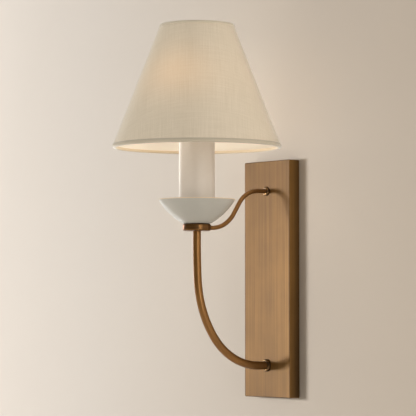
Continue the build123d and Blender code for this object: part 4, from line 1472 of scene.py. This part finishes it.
@dataclass(frozen=True)
class Candle(Assembly):
    """The drip bowl, the candle sleeve and the lampholder inside it, in millimetres.

    Attributes:
        bowl_wall: Thickness of the bowl.
        bowl_foot: Radius of its flat foot.
        bowl_rim: Radius of its rim.
        bowl_rim_height: Height of its rim.
        bowl_side: Radius of the arc of its side.
        stem_hole: Radius of the hole for the stem.
        sleeve_wall: Thickness of the sleeve.
        holder_skirt: Radius of the lampholder's skirt.
        holder_wall: Thickness of that skirt.
        flange: Height of the flange that rests on the sleeve.
        thread_pitch: Pitch of the lampholder's outer thread.
        thread_depth: Depth of that thread.
        thread_start: Height of the thread above the sleeve's top.
        thread_end: Distance of its end from the lampholder's top.
        thread_ease: Length over which it fades in and out.
    """

    bowl_wall: float = 1.4
    bowl_foot: float = 19.0
    bowl_rim: float = 51.0
    bowl_rim_height: float = 104.6
    bowl_side: float = 85.0
    stem_hole: float = 5.2
    sleeve_wall: float = 1.5
    holder_skirt: float = 19.8
    holder_wall: float = 2.2
    flange: float = 3.0
    thread_pitch: float = 2.5
    thread_depth: float = 0.55
    thread_start: float = 0.4
    thread_end: float = 1.0
    thread_ease: float = 1.2

    kept = {
        "bowl_washer": "grey_fibre",
        "threaded_stem": "zinc_steel",
        "centring_washer": "zinc_steel",
        "stem_lock_nut": "zinc_steel",
        "lampholder_base": "black_phenolic",
        "holder_insulator": "white_porcelain",
        "screw_shell": "nickel_brass",
        "centre_contact": "nickel_brass",
        "holder_terminals": "bright_brass",
        "holder_terminal_screws": "nickel_steel",
    }

    def bowl(self) -> None:
        """Build the bowl: one arc from foot to rim, the same wall all over."""
        foot = (self.bowl_foot, Extent.of("drip_bowl").bottom)
        rim = (self.bowl_rim, self.bowl_rim_height)
        chord = math.dist(foot, rim)
        sag = math.sqrt(self.bowl_side**2 - (chord / 2.0) ** 2)
        centre = ((foot[0] + rim[0]) / 2.0 - sag * (rim[1] - foot[1]) / chord,
                  (foot[1] + rim[1]) / 2.0 + sag * (rim[0] - foot[0]) / chord)
        start = math.atan2(foot[1] - centre[1], foot[0] - centre[0])
        end = math.atan2(rim[1] - centre[1], rim[0] - centre[0])
        half = self.bowl_wall / 2.0
        edge_centre = arc(centre, self.bowl_side - half, end, end, 1)[0]
        inside = self.bowl_side - self.bowl_wall
        floor = foot[1] + self.bowl_wall
        outline = [(self.stem_hole, foot[1]), *arc(centre, self.bowl_side, start, end, 40),
                   *arc(edge_centre, half, end, end + math.pi, 10)[1:-1],
                   *arc(centre, inside, end, math.asin((floor - centre[1]) / inside), 40),
                   (self.stem_hole, floor)]
        mesh = Lathe(self.shop.axis, 160).turn("drip_bowl_dish", divided(outline, 4.0), 50.0)
        self.shop.deliver("drip_bowl_dish", mesh, Body.FIXTURE, "drip_bowl", "white_paint")

    def sleeve(self) -> None:
        """Build the plain candle sleeve."""
        size = Extent.of("candle_sleeve")
        inside = size.radius - self.sleeve_wall
        outline = rounded((Corner(inside, size.bottom, 0.3), Corner(size.radius, size.bottom, 0.3),
                           Corner(size.radius, size.top, 0.6), Corner(inside, size.top, 0.5)))
        mesh = Lathe(self.shop.axis, 128).turn("candle_sleeve_tube", divided(outline, 6.0))
        self.shop.deliver("candle_sleeve_tube", mesh, Body.FIXTURE, "candle_sleeve", "sleeve_paint")

    def holder(self) -> None:
        """Build the lampholder's shell, with the thread that carries the shade's ring nut."""
        size = Extent.of("lampholder_shell")
        skirt, rest = self.holder_skirt, Extent.of("candle_sleeve").top
        inside = skirt - self.holder_wall
        thread = Thread(self.thread_pitch, self.thread_depth, rest + self.thread_start,
                        size.top - self.thread_end, self.thread_ease, skirt - 0.01)
        outline = rounded((Corner(inside, size.bottom), Corner(skirt, size.bottom),
                           Corner(skirt, rest - self.flange), Corner(size.radius, rest - self.flange, 0.3),
                           Corner(size.radius, rest, 0.3), Corner(skirt, rest),
                           Corner(skirt, size.top, 0.5), Corner(inside, size.top, 0.5)))
        mesh = Lathe(self.shop.axis, 96).turn("lampholder_skirt", divided(outline, 0.25), ripple=thread)
        self.shop.deliver("lampholder_skirt", mesh, Body.FIXTURE, "lampholder_shell", "black_phenolic")

    def make(self) -> None:
        """Build the bowl, the sleeve and the holder's shell."""
        self.bowl()
        self.sleeve()
        self.holder()


@dataclass(frozen=True)
class Bulb(Assembly):
    """The screw-in bulb, in millimetres.

    Attributes:
        glass: Thickness of its envelope.
        belly: Height of the widest place above the end contact.
        nose: Radius of its tip.
        neck: Radius of the glass where it enters the cap.
        neck_depth: How deep the glass goes into the cap.
        cap_wall: Thickness of the cap.
        thread_pitch: Pitch of the cap's thread.
        thread_depth: Depth of the cap's thread.
        thread_start: Height of the thread above the cap's bottom.
        thread_end: Distance of its end from the cap's top.
        thread_ease: Length over which it fades in and out.
    """

    glass: float = 0.8
    belly: float = 52.0
    nose: float = 3.8
    neck: float = 12.5
    neck_depth: float = 5.0
    cap_wall: float = 0.5
    thread_pitch: float = 3.62
    thread_depth: float = 0.9
    thread_start: float = 2.0
    thread_end: float = 4.0
    thread_ease: float = 2.0

    kept = {"bulb_insulator": "black_glass", "bulb_contact": "nickel_brass"}

    def side(self, inset: float) -> list[Point]:
        """The glass from its neck to its tip.

        Args:
            inset: Distance inside the outer face.

        Returns:
            The points from the neck up to the axis.
        """
        size, cap_top = Extent.of("bulb_glass"), Extent.of("bulb_cap").top
        belly = (size.radius - inset, Extent.of("bulb_contact").bottom + self.belly)
        tip = size.top - inset
        nose = self.nose - inset
        nose_height = tip - nose
        rise = nose_height - belly[1]
        bow = (belly[0] ** 2 + rise**2 - nose**2) / (2.0 * (belly[0] - nose))
        lean = math.atan2(rise, bow - belly[0])
        neck = (self.neck - inset, cap_top)
        drop = belly[1] - neck[1]
        hollow = (belly[0] ** 2 - neck[0] ** 2 - drop**2) / (2.0 * (belly[0] - neck[0]))
        below = arc((hollow, belly[1]), belly[0] - hollow,
                    math.atan2(neck[1] - belly[1], neck[0] - hollow), 0.0, 14)
        above = arc((belly[0] - bow, belly[1]), bow, 0.0, lean, 24)
        tip_arc = arc((0.0, nose_height), nose, lean, math.pi / 2.0, 8)
        return [(neck[0], cap_top - self.neck_depth), *below, *above[1:], *tip_arc[1:-1], (0.0, tip)]

    def make(self) -> None:
        """Build the glass and the threaded cap."""
        outline = [*self.side(0.0), *reversed(self.side(self.glass))]
        lathe = Lathe(self.shop.axis, 72)
        glass = lathe.turn("bulb_envelope", outline, 50.0)
        self.shop.deliver("bulb_envelope", glass, Body.BULB, "bulb_glass", "opal_glass")
        size = Extent.of("bulb_cap")
        thread = Thread(self.thread_pitch, self.thread_depth, size.bottom + self.thread_start,
                        size.top - self.thread_end, self.thread_ease, size.radius - 2.0)
        inside, floor = size.radius - self.cap_wall, size.bottom + self.cap_wall
        outline = rounded((Corner(0.0, size.bottom), Corner(size.radius, size.bottom, 1.2),
                           Corner(size.radius, size.top, 0.2), Corner(inside, size.top, 0.2),
                           Corner(inside, floor, 0.7), Corner(0.0, floor)))
        cap = lathe.turn("bulb_screw_cap", divided(outline, 0.5), 50.0, thread)
        self.shop.deliver("bulb_screw_cap", cap, Body.BULB, "bulb_cap", "nickel_brass")


@dataclass(frozen=True)
class Shade(Assembly):
    """The linen shade with its lining, wires, trims, fitter and ring nut, in millimetres.

    Attributes:
        foot: Radius at the bottom.
        head: Radius at the top.
        base: Height of the bottom edge.
        height: Height of the shade.
        cloth: Thickness of the linen, which leaves room for its lap.
        cloth_depth: Depth of the linen's face under the trims' face.
        lap: Width of the linen's overlapping seam.
        lap_sink: How far its under edge sinks, as a share of the cloth's thickness.
        columns: Faces of the linen round the cone.
        rows: Faces of the linen up the cone.
        lining_depth: Depth of the lining's outer face.
        lining: Thickness of the lining.
        wire: Radius of the wire rings.
        wire_depth: Depth of the rings' middle.
        ring_steps: Faces along each ring.
        tape: Thickness of the trims.
        tape_edge: Chamfer of the tape's edges.
        tape_steps: Faces round each rolled edge.
        bottom_band: How far the bottom trim covers the linen.
        top_band: How far the top trim covers the linen.
        bottom_lap: How far the bottom trim turns back inside.
        top_lap: How far the top trim turns back inside.
        trim_back: Depth of the outer face of the part turned back.
        spoke_count: How many spokes hold the fitter.
        spoke: Radius of a spoke.
        spoke_gap: Gap between a spoke's end and the fitter.
        spoke_lead: Straight length of a spoke beside the fitter.
        spoke_bend: Radius of its bend.
        spoke_tip: Gap between a spoke's end and the top ring.
    """

    foot: float = 114.3
    head: float = 49.5
    base: float = 175.0
    height: float = 166.5
    cloth: float = 0.4
    cloth_depth: float = 0.65
    lap: float = 9.0
    lap_sink: float = 1.05
    columns: int = 420
    rows: int = 44
    lining_depth: float = 1.5
    lining: float = 0.5
    wire: float = 1.5
    wire_depth: float = 3.55
    ring_steps: int = 240
    tape: float = 0.6
    tape_edge: float = 0.15
    tape_steps: int = 14
    bottom_band: float = 5.0
    top_band: float = 4.5
    bottom_lap: float = 4.8
    top_lap: float = 3.3
    trim_back: float = 5.1
    spoke_count: int = 3
    spoke: float = 1.3
    spoke_gap: float = 0.05
    spoke_lead: float = 3.5
    spoke_bend: float = 4.0
    spoke_tip: float = 0.2

    kept = {"fitter_ring": "white_wire", "shade_ring_nut": "black_phenolic"}

    @property
    def slant(self) -> float:
        """Length of the side from the bottom edge to the top."""
        return math.hypot(self.foot - self.head, self.height)

    @property
    def roll(self) -> float:
        """Radius of the rolled edges."""
        return (self.trim_back + self.tape) / 2.0

    @property
    def flat_turn(self) -> float:
        """Turn of the unrolled cone for each turn of the shade."""
        return (self.foot - self.head) / self.slant

    @property
    def flat_foot(self) -> float:
        """Outer radius of the unrolled cone."""
        return self.foot / self.flat_turn

    def on_side(self, along: float, depth: float) -> Point:
        """Radius and height of a point of the side.

        Args:
            along: Distance from the bottom edge, along the side.
            depth: Distance under the trims' face.

        Returns:
            Radius and height, in millimetres.
        """
        inward = -(self.foot - self.head) / self.slant
        upward = self.height / self.slant
        return (self.foot + along * inward - depth * upward, self.base + along * upward + depth * inward)

    def linen(self) -> Object:
        """Build the linen: one sheet round the cone, lapped over itself at the back.

        Returns:
            The linen, as an object.
        """
        lap_angle = self.lap / ((self.foot + self.head) / 2.0)
        made = bmesh.new()
        made.loops.layers.uv.new("surface")
        grid = []
        for column in range(self.columns + 1):
            angle = (FULL_TURN + lap_angle) * column / self.columns
            under = 1.0 - min(1.0, max(0.0, (angle - lap_angle) / lap_angle))
            sink = self.cloth * self.lap_sink * under * under * (3.0 - 2.0 * under)
            turned = SEAM + angle
            flat = (angle - lap_angle / 2.0 - math.pi) * self.flat_turn
            line = []
            for row in range(self.rows + 1):
                along = self.roll + (self.slant - 2.0 * self.roll) * row / self.rows
                r, z = self.on_side(along, self.cloth_depth + sink)
                place = Vector((r * math.cos(turned), r * math.sin(turned), z)) * MM + Vector(self.shop.axis)
                reach = (self.flat_foot - along) * MM
                line.append((made.verts.new(place), (reach * math.sin(flat), reach * math.cos(flat))))
            grid.append(line)
        courses = list(zip(*grid))
        for lower, upper in zip(courses, courses[1:]):
            skin(made, lower, upper)
        mesh = bpy.data.meshes.new("shade_linen")
        made.to_mesh(mesh)
        made.free()
        mesh.shade_smooth()
        piece = self.shop.deliver("shade_linen", mesh, Body.SHADE, "shade_cloth", "linen")
        thick = piece.modifiers.new("thickness", "SOLIDIFY")
        thick.thickness = self.cloth * MM
        thick.offset = -1.0
        return piece

    def liner(self) -> None:
        """Build the lining as a closed band behind the linen."""
        first, last = self.roll, self.slant - self.roll
        outer, inner = self.lining_depth, self.lining_depth + self.lining
        outline = [self.on_side(first, outer), self.on_side(last, outer),
                   self.on_side(last, inner), self.on_side(first, inner)]
        mesh = Lathe(self.shop.axis, 240).turn("shade_lining_sheet", divided(outline, 4.0))
        self.shop.deliver("shade_lining_sheet", mesh, Body.SHADE, "shade_liner", "shade_lining")

    def trim(self, node: str, edge: float, inward: int, band: float, lap: float,
             finish: str) -> Object:
        """Build a trim: a tape that rolls round the edge of the shade.

        Args:
            node: The CAD node that it stands for.
            edge: Place of the edge along the side.
            inward: 1 for the bottom edge and -1 for the top.
            band: How far it covers the linen.
            lap: How far it turns back inside.
            finish: The finish of the tape.

        Returns:
            The trim, as an object.
        """
        innermost = self.trim_back + self.tape

        def at(inside: float, depth: float) -> Point:
            """A point so far from the edge and so deep."""
            return self.on_side(edge + inward * inside, depth)

        def rolled(radius: float, start: float, end: float) -> list[Point]:
            """Points of the rolled edge, at a radius about the wire's line."""
            return [at(self.roll - x, self.roll - y)
                    for x, y in arc((0.0, 0.0), radius, start, end, self.tape_steps)]

        half = math.pi / 2.0
        outline = [at(band, self.tape_edge), at(band - self.tape_edge, 0.0),
                   *rolled(self.roll, half, -half),
                   at(lap - self.tape_edge, innermost), at(lap, innermost - self.tape_edge),
                   at(lap, self.trim_back),
                   *rolled(self.roll - self.tape, -half, half), at(band, self.tape)]
        mesh = Lathe(self.shop.axis, 300).turn(node + "_tape", divided(outline, 1.2), 50.0)
        return self.shop.deliver(node + "_tape", mesh, Body.SHADE, node, "linen_tape", finish)

    def ring(self, name: str, node: str, along: float) -> Object:
        """Build a wire ring behind the lining.

        Args:
            name: The piece's name.
            node: The CAD node that it stands for.
            along: Its place along the side.

        Returns:
            The ring, as an object.
        """
        radius, height = self.on_side(along, self.wire_depth)
        growth = Growth(name)
        wide = growth.size("Ring radius", radius * MM)
        thick = growth.size("Wire radius", self.wire * MM)
        feeds = {"Resolution": self.ring_steps, "Radius": wide}
        circle = growth.add("GeometryNodeCurvePrimitiveCircle", feeds)
        even = growth.add("GeometryNodeSetCurveRadius", {0: circle.outputs[0], "Radius": 1.0})
        place = (self.shop.axis[0], self.shop.axis[1], height * MM)
        placed = growth.add("GeometryNodeTransform", {0: even.outputs[0], "Translation": place})
        mesh = growth.grow(growth.swept(placed.outputs[0], thick, 16), self.shop.finishes["white_wire"])
        return self.shop.deliver(name, mesh, Body.SHADE, node, "white_wire")

    def spoke_line(self) -> Curve:
        """The line of one spoke, from the fitter up to the top ring.

        Returns:
            The curve, in the plane of the axis.
        """
        fitter = Extent.of("fitter_ring")
        ring_radius, ring_height = self.on_side(self.slant - self.roll, self.wire_depth)
        corner = Vector((fitter.radius + self.spoke_lead + self.spoke_bend, fitter.middle))
        top = Vector((ring_radius, ring_height - self.wire - self.spoke_tip))
        rise = (top - corner).normalized()
        back = Vector((-1.0, 0.0))
        half = back.angle(rise) / 2.0
        centre = corner + (back + rise).normalized() * self.spoke_bend / math.sin(half)
        start = -math.pi / 2.0
        path = [(fitter.radius + self.spoke_gap, fitter.middle),
                *arc(tuple(centre), self.spoke_bend, start, start + math.pi - 2.0 * half, 10), tuple(top)]
        return polyline("spoke_line", [(r * MM, 0.0, z * MM) for r, z in path], [1.0] * len(path))

    def spokes(self) -> None:
        """Build the three spokes from the fitter to the top ring."""
        growth = Growth("fitter_spoke_rods")
        count = growth.size("Spoke count", self.spoke_count)
        radius = growth.size("Spoke radius", self.spoke * MM)
        rod = growth.swept(growth.source.outputs["Geometry"], radius, 20)
        points = growth.add("GeometryNodePoints", {"Count": count})
        index = growth.add("GeometryNodeInputIndex").outputs[0]
        angle = growth.math("MULTIPLY", index, growth.math("DIVIDE", FULL_TURN, count))
        spin = growth.add("ShaderNodeCombineXYZ", {2: angle})
        feeds = {"Points": points.outputs[0], "Instance": rod, "Rotation": spin.outputs[0]}
        turned = growth.add("GeometryNodeInstanceOnPoints", feeds)
        placed = growth.add("GeometryNodeTransform", {0: turned.outputs[0], "Translation": self.shop.axis})
        mesh = growth.grow(placed.outputs[0], self.shop.finishes["white_wire"], self.spoke_line(), fill=True)
        self.shop.deliver("fitter_spoke_rods", mesh, Body.SHADE, "fitter_spokes", "white_wire")

    def make(self) -> None:
        linen = self.linen()
        self.liner()
        # The bottom tape's finish carries painted shade, the top tape's painted light.
        bottom = self.trim("bottom_trim", 0.0, 1, self.bottom_band, self.bottom_lap, "linen_tape")
        top = self.trim("top_trim", self.slant, -1, self.top_band, self.top_lap, "linen_tape_top")
        rings = [self.ring("bottom_ring_wire", "bottom_wire_ring", self.roll),
                 self.ring("top_ring_wire", "top_wire_ring", self.slant - self.roll)]
        self.spokes()


# --- Stage, light and camera ---


@dataclass(frozen=True)
class Camera:
    """The camera, to the right of the light and a little below its middle.

    Attributes:
        azimuth: Angle round the upright axis, in degrees; 0 looks along +Y.
        pitch: How far the lens looks upwards, in degrees.
        lens: Focal length, in millimetres.
        sensor: Width of the sensor, in millimetres.
        reach: How far it sees, in metres.
        place: Where the lens stands, in metres.
    """

    azimuth: float = 52.710
    pitch: float = 2.742
    lens: float = 200.73
    sensor: float = 36.0
    reach: float = 50.0
    place: tuple[float, float, float] = (2.47719, -2.00467, -0.05484)

    def build(self) -> None:
        """Make the camera and look through it."""
        data = bpy.data.cameras.new("camera")
        data.lens = self.lens
        data.sensor_width = self.sensor
        data.clip_end = self.reach
        camera = set_out("camera", data)
        camera.location = self.place
        camera.rotation_euler = (math.radians(90.0 + self.pitch), 0.0, math.radians(self.azimuth))
        bpy.context.scene.camera = camera


@dataclass(frozen=True)
class Lamp:
    """A soft rectangular lamp that looks at the middle of the light.

    Attributes:
        name: The lamp's name.
        azimuth: Where it stands round the upright axis, in degrees, as the camera's azimuth.
        rise: How high it stands, in degrees.
        distance: How far away, in metres.
        width: Its width, in metres.
        height: Its height, in metres.
        level: What a white surface that faces it shows, from 0 to 1.
        tint: Its colour.
        mirrored: Whether glossy surfaces show it.
        onto: The only pieces that it lights; none given means all.
        spares: Pieces that it doesn't light.
        through: Pieces that cast no shadow in its light.
        aim: The middle of the light, in metres.
    """

    name: str
    azimuth: float
    rise: float
    distance: float
    width: float
    height: float
    level: float
    tint: Colour
    mirrored: bool = True
    onto: Sequence[Object] = ()
    spares: Sequence[Object] = ()
    through: Sequence[Object] = ()
    aim: tuple[float, float, float] = (0.0, -0.07, 0.08)

    def listed(self, purpose: str, pieces: Sequence[Object], state: str) -> bpy.types.Collection:
        """List pieces for the lamp's linking.

        Args:
            purpose: What the list is for.
            pieces: The pieces.
            state: Blender's word for whether they are in or out.

        Returns:
            The list.
        """
        collection = bpy.data.collections.new(f"{self.name}_{purpose}")
        for piece in pieces:
            collection.objects.link(piece)
        for entry in collection.collection_objects:
            entry.light_linking.link_state = state
        return collection

    def build(self) -> None:
        """Make the lamp and link it to its pieces."""
        data = bpy.data.lights.new(self.name, "AREA")
        data.shape = "RECTANGLE"
        data.size = self.width
        data.size_y = self.height
        data.color = self.tint
        data.energy = self.level * math.pi**2 * self.distance**2
        lamp = set_out(self.name, data)
        turn, tilt = math.radians(self.azimuth), math.radians(self.rise)
        way = Vector((math.sin(turn) * math.cos(tilt), -math.cos(turn) * math.cos(tilt), math.sin(tilt)))
        lamp.location = Vector(self.aim) + way * self.distance
        lamp.rotation_euler = way.to_track_quat("Z", "Y").to_euler()
        lamp.visible_glossy = self.mirrored
        lamp.visible_camera = False
        linking = lamp.light_linking
        if self.onto:
            linking.receiver_collection = self.listed("receivers", self.onto, "INCLUDE")
        if self.spares:
            linking.receiver_collection = self.listed("spared", self.spares, "EXCLUDE")
        if self.through:
            linking.blocker_collection = self.listed("blockers", self.through, "EXCLUDE")
        log.info("%s lamp is set", self.name)


@dataclass(frozen=True)
class RoomPaint(Finish):
    """Matt paint that is clear from behind, lets lamps through, is painted darker away from the window's side
    and stays pale far from the lamps.

    Attributes:
        near: Its colour on the window's side, painted brighter as the window's light.
        far: Its colour on the far side, painted darker as that light falls off.
        fade: Distance from the middle to where each colour is full, in metres.
        mottle: How much faint clouds shift that fade.
        lift: How much paler the camera sees it where the lamps don't reach.
        lift_start: Distance from the light where that begins, in metres.
        lift_end: Distance where it is full, in metres.
    """

    near: Colour
    far: Colour
    fade: float = 0.45
    mottle: float = 0.1
    lift: float = 0.62
    lift_start: float = 0.7
    lift_end: float = 2.6

    clouds = Pattern(9.0, 4.0, 0.55)

    def apply(self, surface: Surface) -> None:
        """Set the paint and mix in its clear back.

        Args:
            surface: The material's nodes.
        """
        place = surface.place()
        # Painted light: the colour fades from the window's side to the far side, as the window's light falls
        # off.
        across = surface.span(surface.parts(place)[0], -self.fade, self.fade)
        shift = surface.math("MULTIPLY_ADD", surface.noise(self.clouds), self.mottle,
                             surface.math("SUBTRACT", across, self.mottle / 2.0))
        path = surface.add("ShaderNodeLightPath")
        distance = surface.add("ShaderNodeVectorMath", {0: place}, operation="LENGTH").outputs["Value"]
        lift = surface.span(distance, self.lift_start, self.lift_end, 0.0, self.lift)
        surface.put({
            "Base Color": surface.blend(shift, self.near, self.far),
            "Roughness": 0.9,
            "Specular IOR Level": 0.1,
            "Emission Color": self.near,
            "Emission Strength": surface.math("MULTIPLY", path.outputs["Is Camera Ray"], lift),
        })
        behind = surface.add("ShaderNodeNewGeometry").outputs["Backfacing"]
        either = surface.math("MAXIMUM", behind, path.outputs["Is Shadow Ray"])
        clear = surface.add("ShaderNodeBsdfTransparent").outputs[0]
        mixed = surface.add("ShaderNodeMixShader", {0: either, 1: surface.shader.outputs[0], 2: clear})
        surface.feed(surface.output.inputs["Surface"], mixed.outputs[0])


@dataclass(frozen=True)
class Stage:
    """A plain pale wall, floor and world, with soft lamps.

    Attributes:
        wall: The wall's colour on the window's side, painted brighter as the window's light.
        wall_far: The wall's colour on the far side, painted darker as that light falls off.
        floor: The floor's colour.
        backdrop: The world's colour as the camera sees it.
        fill: The world's colour as a light.
        fill_level: Its strength on matt surfaces.
        gloss: The world's colour in glossy surfaces.
        gloss_level: Its strength in glossy surfaces.
        gap: From the back of the bracket to the wall, in metres.
        half_width: Half the wall's and the floor's width, in metres.
        wall_top: Height of the wall's top edge, in metres.
        floor_height: Height of the floor, in metres.
        open_above: Height above which pieces cast no shadow in the window's light, in metres.
    """

    wall: Colour = (0.645, 0.61, 0.575)
    wall_far: Colour = (0.64, 0.565, 0.484)
    floor: Colour = (0.80, 0.765, 0.71)
    backdrop: Colour = (0.80, 0.755, 0.70)
    fill: Colour = (1.0, 0.85, 0.62)
    fill_level: float = 0.08
    gloss: Colour = (1.0, 0.86, 0.64)
    gloss_level: float = 0.10
    gap: float = 0.0006
    half_width: float = 8.0
    wall_top: float = 3.0
    floor_height: float = -0.75
    open_above: float = 0.07

    def pane(self, name: str, corners: Sequence[Sequence[float]], finish: Finish) -> Object:
        """Make a flat pane of the stage.

        Args:
            name: Its name.
            corners: Its four corners, in metres.
            finish: Its finish.

        Returns:
            The pane.
        """
        mesh = bpy.data.meshes.new(name)
        mesh.from_pydata(corners, [], [tuple(range(len(corners)))])
        mesh.materials.append(finish.material())
        pane = set_out(name, mesh)
        return pane

    def world(self) -> None:
        """Make the world: pale to the camera, gentler as a light."""
        world = bpy.data.worlds.new("room")
        bpy.context.scene.world = world
        world.use_nodes = True
        nodes = Nodes(world.node_tree)
        mixed = world.node_tree.nodes["Background"]
        nodes.feed(mixed.inputs["Color"], rgba(self.fill))
        nodes.feed(mixed.inputs["Strength"], self.fill_level)
        path = nodes.add("ShaderNodeLightPath")
        for ray, colour, level in (("Is Glossy Ray", self.gloss, self.gloss_level),
                                   ("Is Camera Ray", self.backdrop, 1.0)):
            seen = nodes.add("ShaderNodeBackground", {"Color": rgba(colour), "Strength": level})
            feeds = {0: path.outputs[ray], 1: mixed.outputs[0], 2: seen.outputs[0]}
            mixed = nodes.add("ShaderNodeMixShader", feeds)
        nodes.feed(world.node_tree.nodes["World Output"].inputs["Surface"], mixed.outputs[0])

    def lamps(self, wall: Object, pieces: Sequence[Object]) -> Sequence[Lamp]:
        """Set out the lamps and the pieces that each one lights.

        Args:
            wall: The wall.
            pieces: The pieces of the light.

        Returns:
            The lamps.
        """
        def named(word: str) -> list[Object]:
            """The pieces that have a word in their name."""
            return [piece for piece in pieces if word in piece.name]

        plate, collars = named("backplate"), named("collar")
        lining, bowl = named("shade_lining"), named("drip_bowl")
        upper = [piece for piece in pieces if piece.bound_box[0][2] > self.open_above]
        others = [piece for piece in pieces if piece not in plate]
        works = [piece for piece in others
                 if piece not in upper and not piece.name.endswith(("tube", "rod", "turned"))]
        daylight, warm = (1.0, 0.97, 0.93), (1.0, 0.95, 0.885)
        cool, cooler = (0.97, 0.99, 1.0), (0.93, 0.97, 1.0)
        return (
            Lamp("window", -42.0, -0.5, 5.0, 1.05, 0.6, 0.345, daylight, onto=plate + collars, through=upper),
            Lamp("window_glow", -42.0, -0.5, 5.0, 1.05, 0.6, 0.48, warm, mirrored=False,
                 spares=[wall, *lining], through=upper),
            Lamp("wall_wash", -43.0, 0.0, 2.4, 0.7, 0.3, 0.78, daylight, mirrored=False, onto=[wall],
                 through=others),
            Lamp("rim", -88.0, 3.0, 2.4, 0.7, 1.0, 0.38, daylight, spares=lining + bowl, through=upper),
            Lamp("edge", -112.0, -15.0, 2.4, 0.8, 1.2, 0.7, cooler, spares=[wall, *plate, *collars, *lining]),
            Lamp("collar_rim", -88.0, 3.0, 2.4, 0.8, 3.0, 0.55, daylight, onto=collars),
            Lamp("sky", -10.0, 22.0, 2.6, 2.6, 2.2, 0.12, daylight, mirrored=False, spares=[wall]),
            Lamp("room", 72.0, 12.0, 2.6, 1.6, 1.6, 0.29, warm, mirrored=False, spares=[wall]),
            Lamp("stripe", 80.0, 4.0, 2.6, 0.60, 2.2, 0.28, warm, spares=collars),
            Lamp("bounce", 70.0, -55.0, 2.4, 1.6, 1.6, 0.16, cool, mirrored=False, spares=[wall]),
            Lamp("back", 160.0, 12.0, 2.4, 1.4, 1.4, 0.10, warm, mirrored=False),
            Lamp("inside", 188.0, 8.0, 2.4, 2.0, 2.0, 0.45, daylight, onto=plate + works),
            Lamp("front", 12.0, 5.0, 2.6, 2.4, 2.4, 0.17, warm, onto=plate + works),
        )

    def build(self) -> None:
        """Set up the world, wall, floor and lamps."""
        bpy.context.scene.view_settings.view_transform = "Standard"
        self.world()
        pieces = [piece for piece in bpy.context.scene.objects if piece.type == "MESH"]
        side, top, low, back = self.half_width, self.wall_top, self.floor_height, self.gap
        upright = ((-side, back, low), (side, back, low), (side, back, top), (-side, back, top))
        level = ((-side, -side, low), (side, -side, low), (side, side, low), (-side, side, low))
        wall = self.pane("wall", upright, RoomPaint("wall_paint", self.wall, self.wall_far))
        self.pane("floor", level, RoomPaint("pale_floor", self.floor, self.floor))
        for lamp in self.lamps(wall, pieces):
            lamp.build()


def main() -> None:
    """Build the light from the wall outwards, then the stage and camera."""
    logging.basicConfig(level=logging.INFO, format="%(name)s: %(message)s")
    Camera().build()
    shop = Workshop()
    for assembly in (WallPlate(shop), Arms(shop), Candle(shop), Bulb(shop), Shade(shop)):
        assembly.build()
        log.info("%s is built", type(assembly).__name__)
    Stage().build()


if __name__ == "__main__":
    main()
